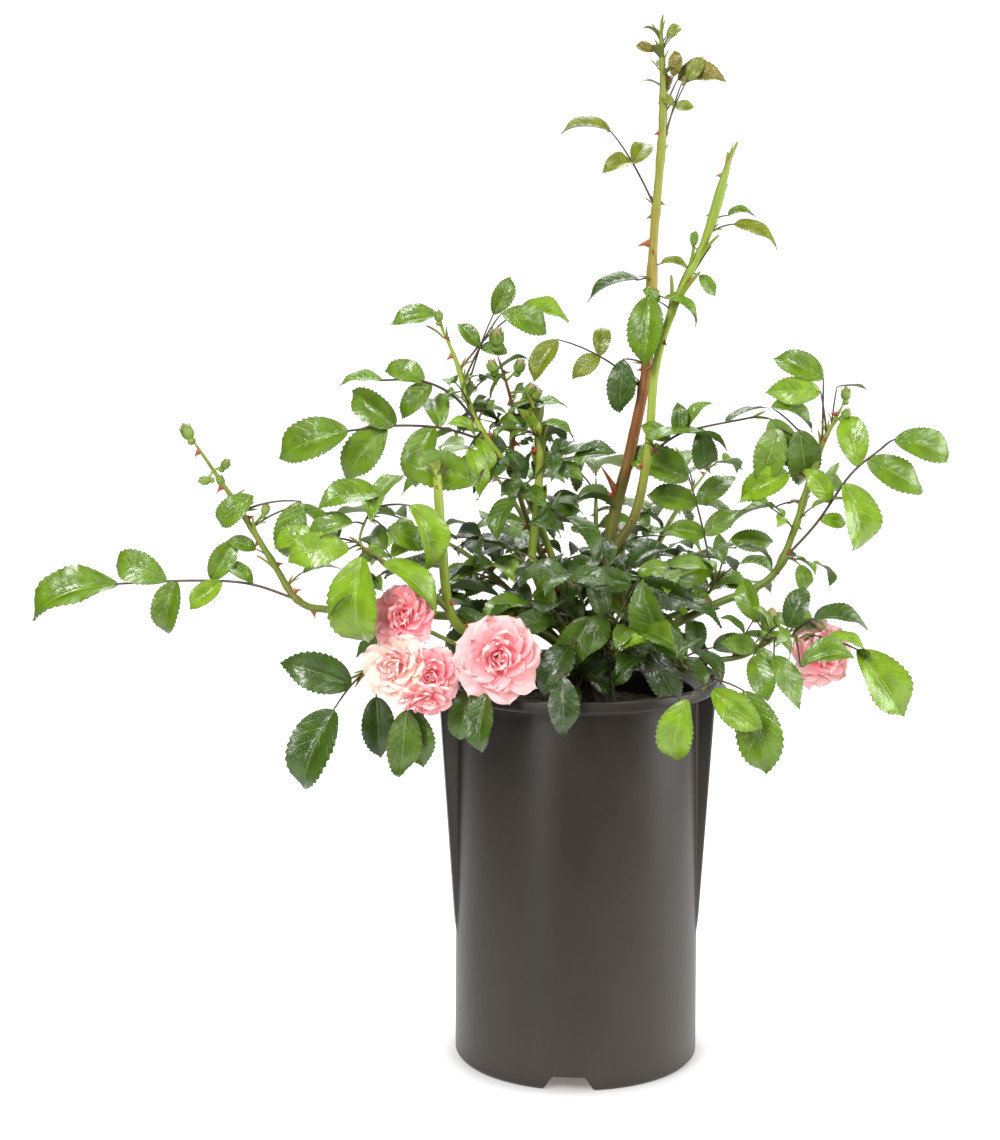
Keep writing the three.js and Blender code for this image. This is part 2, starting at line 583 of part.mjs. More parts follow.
// A stalk's line between two points, arched upwards
function arc(from, to, rise) {
  const middle = from.clone().lerp(to, 0.5);
  middle.z += rise;
  return new THREE.QuadraticBezierCurve3(from, middle, to);
}

class Spray {
  constructor(name, seed) {
    this.name = name;
    this.roll = dice(seed);
    this.pieces = [];
  }

  // Adds a piece where its swollen form is clear of every other node
  add(make) {
    if (meetsOthers(this.name, make(clearance))) return false;
    const solid = make(0);
    this.pieces.push(solid);
    stand(this.name, solid);
    return true;
  }

  stalk(from, to, radii, arch) {
    const shape = { radii, sides: twigSides, steps: from.distanceTo(to) > shortStalk ? 2 : 1 };
    return this.add((swell) => limb(arc(from, to, arch), { ...shape, swell }));
  }

  leaf(root, { to, size, pairs, face, aim }) {
    const reach = vector(to);
    const end = root.clone().add(reach);
    const path = arc(root, end, reach.length() * leafRule.arch);
    const upper = vector(face).normalize();
    const bladePlan = (along, length) => {
      const tilt = vector(leafRule.tilt.map((most) => this.roll(-most, most)));
      const blade = length > largeLeaf ? largeBlade : smallBlade;
      return { along, face: upper.clone().add(tilt), length, ...blade, droop: this.roll(...leafRule.droop) };
    };
    const endPlan = bladePlan(aim ? vector(aim) : path.getTangent(1), size);
    const make = reach.length() < shortestStalk
      ? (plan, swell) => leaflet({ base: root, ...plan }, swell)
      : (plan, swell) => stalkedLeaf(path, plan, swell);
    const isSet = smallerTries.some(
      (scale) => this.add((swell) => make({ ...endPlan, length: size * scale }, swell)),
    );
    if (!isSet) return;
    const { spread, pairSize } = leafRule;
    for (let k = 1; k <= pairs; k++) {
      const place = 1 - k * (leafRule.pairsFrom / (pairs + 0.6));
      const ahead = path.getTangent(place);
      const across = new THREE.Vector3().crossVectors(upper, ahead).normalize();
      for (const hand of [-1, 1]) {
        const turn = (spread.first + spread.step * k + this.roll(-spread.stray, spread.stray)) * degrees;
        const along = ahead.clone().multiplyScalar(Math.cos(turn))
          .addScaledVector(across, hand * Math.sin(turn));
        const share = (pairSize.first - pairSize.step * k) * this.roll(...pairSize.stray);
        const plan = bladePlan(along, size * share);
        this.add((swell) => leaflet({ base: path.getPoint(place), ...plan }, swell));
      }
    }
  }

  bud(root, { to, radius }) {
    const { length, sunk, stalk, stalkRadii: radii, ...rest } = budShape;
    const tip = root.clone().add(vector(to));
    const along = vector(to).normalize().add(new THREE.Vector3(0, 0, 0.8)).normalize();
    if (root.distanceTo(tip) > stalk) this.stalk(root, tip, radii, 0);
    const base = tip.addScaledVector(along, -radius * sunk);
    const plan = { base, along, radius, length: radius * length, ...rest };
    this.add((swell) => rounded(plan, budOutline, swell));
  }

  bloom(root, { to, radius, aim }) {
    const { length, sunk, stalkRadii: radii, ...rest } = bloomShape;
    const along = vector(aim).normalize();
    const base = root.clone().add(vector(to)).addScaledVector(along, -radius * sunk);
    const reach = base.clone().addScaledVector(along, radius * 0.25);
    const plan = { base, along, radius, length: radius * length, ...rest };
    if (this.stalk(root, reach, radii, -2)) this.add((swell) => rounded(plan, bloomOutline, swell));
  }

  carry(path, { leaves = [], buds = [] }) {
    leaves.forEach((row) => this.leaf(path.getPoint(row.at), row));
    buds.forEach((row) => this.bud(path.getPoint(row.at), row));
  }
}

// ---- the pot, the compost and the crown ----

function potWall() {
  const under = potHeight - rimBand;
  const inner = (radius) => radius - wall;
  return turned([
    [0, 0], [padRadius, 0], [padRadius + 1.5, footRise], [baseRadius - 5, footRise],
    [baseRadius - 4.5, 0], [baseRadius - 2.2, 0], [baseRadius, 2.6],
    [shoulderRadius, under - 3], [rimRadius, under], [rimRadius, potHeight],
    [rimRadius - 3, potHeight], [rimRadius - 4, under + 2], [inner(shoulderRadius), under - 3],
    [inner(baseRadius) - 0.8, footRise + wall], [padRadius, footRise + wall], [padRadius - wall, wall],
    [0, wall],
  ], potSides);
}

// The flared lugs at the two sides: a cone that is kept only within two wedges
function potLugs() {
  const under = potHeight - rimBand + 0.5;
  const cone = turned([
    [0, lug.start], [shoulderRadius + 1, lug.start], [lug.radius, under], [0, under],
  ], potSides * 2);
  const bore = turned([
    [0, lug.start - 1], [shoulderRadius - 1, lug.start - 1], [shoulderRadius - 1, under + 1], [0, under + 1],
  ], potSides);
  const reach = rimRadius * 1.2;
  const spread = reach * Math.tan(lug.halfAngle * degrees);
  const fan = new THREE.Shape([
    new THREE.Vector2(0, 0), new THREE.Vector2(reach, -spread), new THREE.Vector2(reach, spread),
  ]);
  const wedge = new THREE.ExtrudeGeometry(fan, { depth: potHeight, bevelEnabled: false });
  const onRight = shaped(wedge);
  const onLeft = shaped(wedge, (p) => p.set(-p.x, -p.y, p.z));
  return cone.subtract(bore).intersect(onRight.add(onLeft));
}

function potNotches() {
  const { top, bottom, height } = notch;
  const mouth = new THREE.Shape([
    new THREE.Vector2(-bottom / 2, -1), new THREE.Vector2(bottom / 2, -1),
    new THREE.Vector2(top / 2, height), new THREE.Vector2(-top / 2, height),
  ]);
  const cutter = new THREE.ExtrudeGeometry(mouth, { depth: 14, bevelEnabled: false });
  let cuts = null;
  for (let i = 0; i < notch.count; i++) {
    const turn = (notch.turn + i * (360 / notch.count)) * degrees;
    const cut = shaped(cutter, (p) => {
      const out = -(baseRadius - 8 + p.z);
      p.set(
        p.x * Math.cos(turn) - out * Math.sin(turn), p.x * Math.sin(turn) + out * Math.cos(turn), p.y,
      );
    });
    cuts = cuts ? cuts.add(cut) : cut;
  }
  return cuts;
}

function soil() {
  const inner = (radius) => radius - wall - clearance;
  const slope = (z) => THREE.MathUtils.lerp(
    baseRadius - 0.8, shoulderRadius, (z - footRise) / (potHeight - rimBand - 3 - footRise),
  );
  const floor = footRise + wall + clearance;
  return turned([
    [0, wall + clearance], [padRadius - wall - 0.6, wall + clearance], [padRadius - 0.6, floor],
    [inner(slope(floor)), floor], [inner(slope(soilTop - 2)), soilTop - 2],
    [48, soilTop + 0.8], [28, soilTop], [0, soilTop],
  ], potSides);
}

function crownSolid(swell = 0) {
  const base = soilTop + clearance;
  const profile = [
    [0, 0], [crown.footRadius, 0], [13.5, 6], [11, 14], [13, 24], [11.5, 32], [6.5, 38], [0, crown.height],
  ];
  const grown = profile.map(([radius, z]) => [
    radius && radius + swell, base + z + (z > crown.height / 2 ? swell : 0),
  ]);
  return turned(grown, crown.sides).translate([crown.x, crown.y, 0]);
}

// ---- the whole plant ----

const barkFinish = {
  green: { color: 0x7d9a3c, roughness: 0.5, metalness: 0 },
  red: { color: 0x8a4a2c, roughness: 0.5, metalness: 0 },
};
const potFinish = { color: 0x46413c, roughness: 0.42, metalness: 0 };
const soilFinish = { color: 0x2b2019, roughness: 0.95, metalness: 0 };
const crownFinish = { color: 0x6b5236, roughness: 0.8, metalness: 0 };
const foliageFinish = { color: 0x3f7a27, roughness: 0.38, metalness: 0 };

const group = new THREE.Group();

const pot = potWall().add(potLugs()).subtract(potNotches());
const soilBody = soil();
const crownBody = crownSolid();
group.add(meshOf('pot', pot, potFinish));
group.add(meshOf('soil', soilBody, soilFinish));
group.add(meshOf('crown', crownBody, crownFinish));
stand('pot', pot);
stand('soil', soilBody);
stand('crown', crownBody);

// Bare limbs: each is cut clear of the crown and of the limbs before it
const crownRoom = crownSolid(clearance);
const limbRooms = [];
for (const cane of canes) {
  const path = curveThrough(cane.path);
  cane.curve = path;
  if (!cane.split) continue;
  const shape = {
    radii: cane.radii, to: cane.split, sides: caneSides, steps: Math.max(3, Math.round(cane.split * 9)),
  };
  let body = limb(path, shape).subtract(crownRoom);
  for (const room of limbRooms) body = body.subtract(room);
  body = largest(body);
  group.add(meshOf(cane.name, body, barkFinish[cane.bark]));
  stand(cane.name, body);
  limbRooms.push(limb(path, { ...shape, swell: clearance }));
}

// Cuts a stem clear of the crown, of the limbs and of the stems before it
const stemRooms = [];
function clearStem(make) {
  let stem = make(0).subtract(crownRoom);
  for (const room of [...limbRooms, ...stemRooms]) stem = stem.subtract(room);
  stemRooms.push(make(clearance));
  return largest(stem);
}

// A spray's stem goes on from its limb, or straight from the crown, a clearance away
const sprays = [];
function startSpray(name, seed, curve, start, radii, plan) {
  const spray = new Spray(name, seed);
  const steps = Math.max(3, Math.round((1 - start) * 7));
  const stem = clearStem((swell) => limb(curve, { from: start, radii, sides: stemSides, steps, swell }));
  spray.pieces.push(stem);
  stand(name, stem);
  sprays.push({ spray, curve, plan });
}

for (const { name, spray = name, seed, curve, split, radii, side, ...plan } of canes) {
  const gap = split ? clearance / curve.getLength() : 0;
  if (split < 1) startSpray(spray, seed, curve, split + gap, radii, plan);
  if (side) {
    const root = curve.getPoint(side.at);
    const path = curveThrough(side.path.map((step) => root.clone().add(vector(step)).toArray()));
    startSpray(side.spray, side.seed, path, 0, side.radii, side);
  }
}

for (const { spray, curve, plan } of sprays) {
  (plan.blooms ?? []).forEach((row) => spray.bloom(curve.getPoint(row.at), row));
}

for (const { spray, curve, plan } of sprays) {
  for (const twig of plan.twigs ?? []) {
    const root = curve.getPoint(twig.at);
    const path = curveThrough(twig.path.map((step) => root.clone().add(vector(step)).toArray()));
    const shape = { radii: twig.radii, sides: stemSides, steps: 4 };
    if (spray.add((swell) => limb(path, { ...shape, swell }))) spray.carry(path, twig);
  }
  spray.carry(curve, plan);
  const body = largest(wasm.Manifold.union(spray.pieces)).simplify(finestEdge);
  group.add(meshOf(spray.name, body, foliageFinish));
}

export default group;
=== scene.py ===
import json
import math

import bpy
from mathutils import Matrix, Quaternion, Vector, noise

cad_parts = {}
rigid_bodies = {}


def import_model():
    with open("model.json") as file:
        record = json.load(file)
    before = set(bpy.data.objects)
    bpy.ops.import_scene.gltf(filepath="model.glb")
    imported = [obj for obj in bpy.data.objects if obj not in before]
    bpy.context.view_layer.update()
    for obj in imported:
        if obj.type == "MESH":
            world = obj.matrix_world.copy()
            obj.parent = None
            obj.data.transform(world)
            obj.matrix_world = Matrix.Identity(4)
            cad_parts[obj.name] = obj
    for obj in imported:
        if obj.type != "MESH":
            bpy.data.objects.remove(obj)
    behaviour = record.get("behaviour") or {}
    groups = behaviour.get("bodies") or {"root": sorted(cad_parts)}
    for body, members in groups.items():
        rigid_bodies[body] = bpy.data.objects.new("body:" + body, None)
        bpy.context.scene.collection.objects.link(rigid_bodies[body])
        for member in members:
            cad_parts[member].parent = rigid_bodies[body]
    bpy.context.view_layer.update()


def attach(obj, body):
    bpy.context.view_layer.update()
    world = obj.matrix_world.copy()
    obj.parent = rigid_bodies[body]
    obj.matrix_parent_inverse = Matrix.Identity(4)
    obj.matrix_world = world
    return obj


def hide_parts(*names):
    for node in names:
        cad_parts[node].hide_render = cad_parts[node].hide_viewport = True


# A young rose bush in a deep nursery pot: -Y is the front, and the pot stands on the floor at the origin.
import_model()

mm = 0.001                     # the plan is in millimetres, the meshes are in metres
tau = 2 * math.pi
scene = bpy.context.scene
bladeMap = "blade"             # the layout that every leaflet and petal shares
bakeMap = "OFBake"


def tell(stage):
    print(f"rose bush: {stage}")


# Small tools

# Where each random sequence starts
seeds = dict(
    tints=2718, leaflet=4000, petal=7000, crumb=8000, leafPlace=12000, petalPlace=15000, prickle=600,
    tuft=300, bloom=5, extra=77, stump=31, crumbBed=7,
)


# The same small random sequence on every run
class Dice:
    def __init__(self, seed):
        self.state = seed

    def roll(self, low, high):
        self.state = self.state * 16807 % 2147483647
        return low + (high - low) * self.state / 2147483647

    def pick(self, count):
        return int(self.roll(0, count - 0.01))


def smooth(low, high, value):
    w = min(max((value - low) / (high - low), 0), 1)
    return w * w * (3 - 2 * w)


# A smooth line through points, read by its share from 0 to 1
class Course:
    def __init__(self, points):
        self.points = [Vector(point) for point in points]

    def at(self, share):
        points = self.points
        last = len(points) - 1
        place = min(max(share, 0), 1) * last
        i = min(int(place), last - 1)
        w = place - i
        start, end = points[i], points[i + 1]
        before = points[i - 1] if i > 0 else 2 * start - end
        after = points[i + 2] if i + 2 <= last else 2 * end - start
        leave, arrive = (end - before) / 2, (after - start) / 2
        return ((2 * w**3 - 3 * w**2 + 1) * start + (w**3 - 2 * w**2 + w) * leave
                + (3 * w**2 - 2 * w**3) * end + (w**3 - w**2) * arrive)

    def heading(self, share):
        step = 1e-3
        return (self.at(share + step) - self.at(share - step)).normalized()

    def length(self):
        stops = [self.at(i / 40) for i in range(41)]
        return sum((b - a).length for a, b in zip(stops, stops[1:]))

    # Points along the line, each with a radius that goes from thick to thin
    def taper(self, steps, thick, thin, scale=1):
        return [(self.at(i / steps), (thick + (thin - thick) * i / steps) * scale) for i in range(steps + 1)]


# A stalk's line between two points, arched upwards
class Arc(Course):
    def __init__(self, start, end, rise):
        self.ends = start, start.lerp(end, 0.5) + Vector((0, 0, rise)), end

    def at(self, share):
        a, b, c = self.ends
        w = min(max(share, 0), 1)
        return (1 - w) ** 2 * a + 2 * w * (1 - w) * b + w * w * c


# An object at the origin that holds a mesh, a light or a camera
def placed(name, data):
    made = bpy.data.objects.new(name, data)
    scene.collection.objects.link(made)
    return made


def meshObject(name, points, faces):
    mesh = bpy.data.meshes.new(name)
    mesh.from_pydata([tuple(point) for point in points], [], [tuple(face) for face in faces])
    mesh.validate()
    mesh.shade_smooth()
    return placed(name, mesh)


# A mesh of bare points or edges for a growth to work on, with a value of each kind at every point
def seedObject(name, points, edges, **values):
    mesh = bpy.data.meshes.new(name)
    mesh.from_pydata([tuple(point * mm) for point in points], edges, [])
    for label, (dataType, key, numbers) in values.items():
        mesh.attributes.new(label, dataType, "POINT").data.foreach_set(key, numbers)
    return placed(name, mesh)


# Faces of a grid of closed rings
def gridFaces(rings, across, first=0):
    faces = []
    for i in range(rings - 1):
        for j in range(across):
            a, b = first + i * across + j, first + i * across + (j + 1) % across
            faces.append((a, b, b + across, a + across))
    return faces


# Triangles from a centre to the ring of points that starts at rim
def fanFaces(centre, rim, sides, flip):
    pairs = [(rim + j, rim + (j + 1) % sides) for j in range(sides)]
    return [(centre, *(pair[::-1] if flip else pair)) for pair in pairs]


# A closed profile of (radius, z) turned about Z: shape(radius, z, angle) may move each point
def turned(name, profile, sides, shape):
    points = []
    inner = profile[1:-1]
    for radius, z in inner:
        for j in range(sides):
            angle = tau * j / sides
            r, height = shape(radius, z, angle)
            points.append(Vector((r * math.cos(angle), r * math.sin(angle), height)) * mm)
    faces = gridFaces(len(inner), sides)
    for end, ring, flip in ((profile[0], 0, True), (profile[-1], len(inner) - 1, False)):
        points.append(Vector((0, 0, end[1] * mm)))
        faces += fanFaces(len(points) - 1, ring * sides, sides, flip)
    return faceOut(meshObject(name, points, faces))


def faceOut(made):
    bpy.context.view_layer.objects.active = made
    made.select_set(True)
    bpy.ops.object.mode_set(mode="EDIT")
    bpy.ops.mesh.select_all(action="SELECT")
    bpy.ops.mesh.normals_make_consistent(inside=False)
    bpy.ops.object.mode_set(mode="OBJECT")
    made.select_set(False)
    return made


# What every finished piece needs: its finish, its body, its slot and the nodes it stands for
def settle(made, finish, nodes=()):
    if finish:
        made.data.materials.clear()
        made.data.materials.append(finish)
    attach(made, "root")
    if nodes:
        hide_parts(*nodes)


# Shader and node tools

# What an operator does on a field: it adds a Math node
def sums(operation, mirrored=False):
    def work(field, *others):
        terms = (*others, field) if mirrored else (field, *others)
        return addNode(field.tree, "ShaderNodeMath", {"operation": operation}, dict(enumerate(terms)))

    return work


# A socket that takes part in Python sums
class Field:
    def __init__(self, tree, socket):
        self.tree, self.socket = tree, socket

    __add__, __radd__ = sums("ADD"), sums("ADD", True)
    __sub__, __rsub__ = sums("SUBTRACT"), sums("SUBTRACT", True)
    __mul__, __rmul__ = sums("MULTIPLY"), sums("MULTIPLY", True)
    __truediv__, __mod__ = sums("DIVIDE"), sums("FLOORED_MODULO")
    __gt__, __abs__ = sums("GREATER_THAN"), sums("ABSOLUTE")

    # 0 below low, 1 above high, and smooth between
    def between(self, low, high):
        return addNode(
            self.tree, "ShaderNodeMapRange", {"interpolation_type": "SMOOTHSTEP"},
            {"Value": self, "From Min": low, "From Max": high}, "Result",
        )


def feed(tree, slot, value):
    if isinstance(value, Field):
        tree.links.new(value.socket, slot)
    elif isinstance(value, bpy.types.NodeSocket):
        tree.links.new(value, slot)
    else:
        slot.default_value = value


# Adds a node: its type, its settings, then its sockets by name or place
def addNode(tree, kind, settings=None, sockets=None, output=0):
    node = tree.nodes.new(kind)
    for key, value in (settings or {}).items():
        if key == "stops":
            ramp = node.color_ramp
            while len(ramp.elements) < len(value):
                ramp.elements.new(0.5)
            for element, (place, colour) in zip(ramp.elements, value):
                element.position, element.color = place, (*colour, 1)
        else:
            setattr(node, key, value)
    for key, value in (sockets or {}).items():
        feed(tree, node.inputs[key], value)
    return Field(tree, node.outputs[output])


# A material with one Principled surface
class Finish:
    def __init__(self, name, **fixed):
        self.material = bpy.data.materials.new(name)
        self.material.use_nodes = True
        self.tree = self.material.node_tree
        self.surface = self.tree.nodes["Principled BSDF"]
        for key, value in fixed.items():
            self.surface.inputs[key.replace("_", " ")].default_value = value

    def node(self, kind, settings=None, sockets=None, output=0):
        return addNode(self.tree, kind, settings, sockets, output)

    def put(self, **sockets):
        for key, value in sockets.items():
            feed(self.tree, self.surface.inputs[key.replace("_", " ")], value)

    def mix(self, factor, first, second):
        ends = [(*value, 1) if isinstance(value, tuple) else value for value in (first, second)]
        return self.node("ShaderNodeMix", {"data_type": "RGBA"}, {0: factor, 6: ends[0], 7: ends[1]}, 2)

    # Where a point is in the object, in metres
    def where(self):
        return self.node("ShaderNodeTexCoord", output=3)

    def height(self):
        return self.node("ShaderNodeSeparateXYZ", None, {0: self.where()}, 2)

    def noise(self, scale, detail=3, stretch=(1, 1, 1)):
        spread = self.node("ShaderNodeMapping", None, {"Vector": self.where(), "Scale": stretch})
        return self.noiseOver(spread, scale, detail)

    def noiseOver(self, spread, scale, detail):
        return self.node("ShaderNodeTexNoise", None, {"Vector": spread, "Scale": scale, "Detail": detail})

    # The piece's own layout: how far along, how far across from -1 to 1, and 1 on the upper side
    def blade(self):
        spread = self.node("ShaderNodeUVMap", {"uv_map": bladeMap})
        along, height = [self.node("ShaderNodeSeparateXYZ", None, {0: spread}, k) for k in (0, 1)]
        return along, ((height * 2) % 1 - 0.5) / 0.48, height > 0.5, spread

    def relief(self, height, strength, distance):
        sockets = {"Height": height, "Strength": strength, "Distance": distance}
        self.put(Normal=self.node("ShaderNodeBump", None, sockets))


# The plan of the plant, in millimetres

soilTop = 224
crown = dict(x=12, y=0, canesAt=25, canesRadius=7)
goldenTurn = 137.5
goldenAngle = math.radians(goldenTurn)

# Ways that a leaf's upper side can look
front = (0, -1, 0.4)
above = (0, -0.45, 1)
left = (-0.7, -0.7, 0.5)
right = (0.7, -0.7, 0.5)


# One compound leaf: where on its stem, its stalk's reach, its end leaflet's length and way, its side pairs
def leaf(at, to, size, aim=None, face=front, pairs=0, tint=None):
    return dict(at=at, to=to, size=size, pairs=pairs, face=face, aim=aim, tint=tint)


def bud(at, to, radius):
    return dict(at=at, to=to, radius=radius)


def bloom(at, to, radius, aim, tint="rose"):
    return dict(at=at, to=to, radius=radius, aim=aim, tint=tint)


# A cane's foot in the crown, on the side that it leaves by
def foot(azimuth):
    turn = math.radians(azimuth)
    return (crown["x"] + crown["canesRadius"] * math.cos(turn),
            crown["y"] + crown["canesRadius"] * math.sin(turn), soilTop + crown["canesAt"])


canes = []


# A cane: its path from the crown, its radii, the share where its spray starts, and what that carries
def addCane(**cane):
    canes.append(cane)


addCane(
    name="front_spray", bark="green", radii=(2, 1.2), split=0, seed=139,
    path=[foot(275), (14, -32, 266), (19, -50, 284), (30, -64, 312)],
    leaves=[
        leaf(1, (4, -6, 6), 34, (1, 0, -0.4)),
        leaf(0.93, (3, -6, 10), 32, (-1, 0, 0.05)),
        leaf(0.84, (16, -4, 0), 36, (0.6, -0.3, -0.8), pairs=1),
        leaf(0.77, (-16, -10, 4), 38, (-0.5, -0.2, -0.8), pairs=1),
        leaf(0.6, (-24, -26, 0), 36, (-0.5, -0.55, -0.6)),
        leaf(0.36, (-26, -62, -2), 36, (0, -0.2, -1)),
        leaf(0.46, (8, -40, -4), 34, (0.3, -0.4, -0.9)),
        leaf(0.68, (22, -16, -10), 36, (0.5, -0.3, -0.9)),
        leaf(0.5, (4, -14, -22), 27, (0.3, -0.3, -0.6), pairs=1, tint="deep"),
        leaf(0.62, (26, -10, -30), 26, (0.6, -0.2, -0.3), pairs=1, tint="deep"),
        leaf(0.4, (-16, -12, -20), 27, (-0.4, -0.3, -0.5), pairs=1, tint="deep"),
    ],
)
addCane(
    name="tall_cane", spray="tall_cane_spray", bark="red", radii=(4.4, 1.9), split=0.44, seed=11,
    path=[foot(20), (21, 4, 334), (33, 4, 390), (43, 0, 448), (46, 0, 520), (51, 0, 594), (49, 0, 654)],
    leaves=[
        leaf(0.45, (-54, -12, 31), 29, (-0.6, 0, -1), pairs=1, tint="olive"),
        leaf(0.49, (-15, -6, 4), 34, (-0.1, 0, -1), tint="mid"),
        leaf(0.6, (-3, -17, -3), 41, (-0.1, -0.1, -1), tint="mid"),
        leaf(0.615, (-8, -9, 0), 34, (-1, 0, -0.1), above, tint="mid"),
        leaf(0.585, (6, -24, 3), 28, (1, 0, -0.5), above, tint="mid"),
        leaf(0.63, (5, -2, 3), 19, (1, 0, 0.05), above),
        leaf(0.71, (-28, 5, 48), 31, (-1, 0, 0.1), (0.2, -0.5, 1), pairs=1),
        leaf(0.78, (12, 0, 44), 26, (1, 0, 0.02), (0, -0.5, 1)),
        leaf(0.84, (9, 3, 22), 25, (1, 0, 0.45)),
        leaf(0.87, (6, -2, 12), 16, (0.1, 0, 1)),
        leaf(0.8, (15, -3, 38), 17, (0.6, 0, 0.8), pairs=1, tint="olive"),
        leaf(0.93, (-5, 0, 6), 12, (-0.9, 0, 0.4)),
        leaf(0.96, (3, 0, 4), 13, (0.8, 0, 0.7)),
    ],
)
addCane(
    name="forked_cane", spray="forked_cane_spray", bark="aged", radii=(3.6, 1.9), split=0.465, seed=23,
    tip=1.2,
    path=[
        foot(250), (12, -12, 292), (18, -9, 322), (35, -9, 350), (43, -11, 392),
        (47, -12, 442), (58, -15, 481), (78, -15, 525), (93, -15, 580),
    ],
    twigs=[dict(
        at=0.485, radii=(1.3, 0.9), path=[(0, 0, 0), (13, -6, 12), (28, -8, 19), (66, -10, 27)],
        leaves=[
            leaf(0.14, (-7, -17, 9), 50, (1, 0, 0.02), (0, -0.1, 1), tint="fresh"),
            leaf(0.36, (-1, 0, 2), 20, (-0.9, 0, 0.5)),
            leaf(0.48, (0, 0, 2), 20, (0.1, 0, 1)),
            leaf(0.62, (-1, 0, 2), 23, (0.5, 0, 0.8), above),
            leaf(0.72, (2, -1, -1), 30, (0.1, 0, -1)),
            leaf(0.85, (2, 0, 1), 27, (0.9, 0, 0.5), above),
            leaf(0.98, (12, 0, -1), 34, (0.5, 0, -1)),
        ],
    )],
    leaves=[
        leaf(0.875, (16, 0, 6), 30, (1, 0, -0.5), (0.1, -0.6, 0.8), tint="olive"),
        leaf(0.895, (10, 4, 3), 18, (1, 0.2, 0.3), above),
        leaf(0.845, (-4, -1, 4), 10, (0.05, 0, 1)),
        leaf(0.81, (6, -2, -1), 16, (0.6, 0, -0.8)),
        leaf(0.74, (-8, -2, 6), 14, (-0.6, 0, 0.8)),
    ],
)
addCane(
    name="left_arch", spray="left_arch_spray", bark="green", radii=(3, 1.4), split=0.565, seed=37,
    path=[
        foot(215), (-30, -35, 284), (-100, -60, 297), (-150, -64, 300), (-171, -65, 306),
        (-187, -62, 330), (-208, -60, 364), (-235, -60, 405),
    ],
    twigs=[dict(
        at=0.578, radii=(1.3, 1), path=[(0, 0, 0), (-30, 4, 9), (-66, 9, 10), (-113, 15, 7)],
        leaves=[
            leaf(0.98, (-1, 0, 0), 56, (-1, 0, -0.3), tint="fresh"),
            leaf(0.77, (-1, 1, 2), 38, (-0.9, 0, 0.45)),
            leaf(0.73, (0, -1, -2), 35, (-0.25, 0, -1)),
            leaf(0.55, (0, 1, 3), 28, (0.5, 0, 0.8)),
            leaf(0.49, (0, -1, -2), 25, (-0.75, 0, -0.6)),
            leaf(0.3, (0, 1, 3), 22, (-0.5, 0, 0.6), above),
        ],
    )],
    leaves=[
        leaf(0.87, (13, -4, 2), 30, (-0.9, 0, -0.65)),
        leaf(0.84, (36, 2, 6), 36, (-0.35, 0, -1)),
        leaf(0.8, (26, 8, 12), 30, (0.9, 0, -0.5), above),
        leaf(0.72, (-9, 4, 5), 18, (-1, 0, 0.3), left),
        leaf(0.63, (9, 6, 8), 22, (1, 0, 0.3), above),
    ],
    buds=[
        bud(1, (-1, 0, 1), 4.2), bud(0.93, (-4, -1, -6), 3), bud(0.93, (7, -3, 3), 3),
        bud(0.88, (-5, 1, 7), 2.8), bud(0.8, (8, 2, 10), 2.8),
    ],
)
addCane(
    name="left_stump", bark="fresh", radii=(3.4, 2.7), split=1,
    path=[
        foot(205), (-38, -42, 273), (-64, -60, 283), (-79, -70, 300), (-84, -67, 342), (-87, -61, 385),
    ],
    side=dict(
        spray="bright_left_spray", at=0.6, radii=(1.7, 1.1), seed=41,
        path=[(0, 0, 0), (-16, -10, 17), (-36, -16, 31), (-53, -14, 43), (-48, -4, 62)],
        leaves=[
            leaf(0.7, (0, -15, -2), 58, (-0.12, 0, -1), tint="bright"),
            leaf(0.74, (-6, -8, -1), 38, (-1, 0, -0.1), tint="bright"),
            leaf(0.62, (6, -8, -4), 44, (0.9, 0, -0.5), above, tint="bright"),
            leaf(0.9, (-6, -6, 2), 31, (-0.9, 0, -0.35), left),
            leaf(1, (8, -8, 10), 38, (-1, -0.2, -0.15), above, pairs=1),
            leaf(0.95, (12, -12, -6), 30, (0.9, 0, -0.3)),
            leaf(1, (24, -8, 4), 42, (0.4, 0, -1), right),
            leaf(0.45, (-6, 10, 10), 30, face=above, pairs=1),
        ],
    ),
)
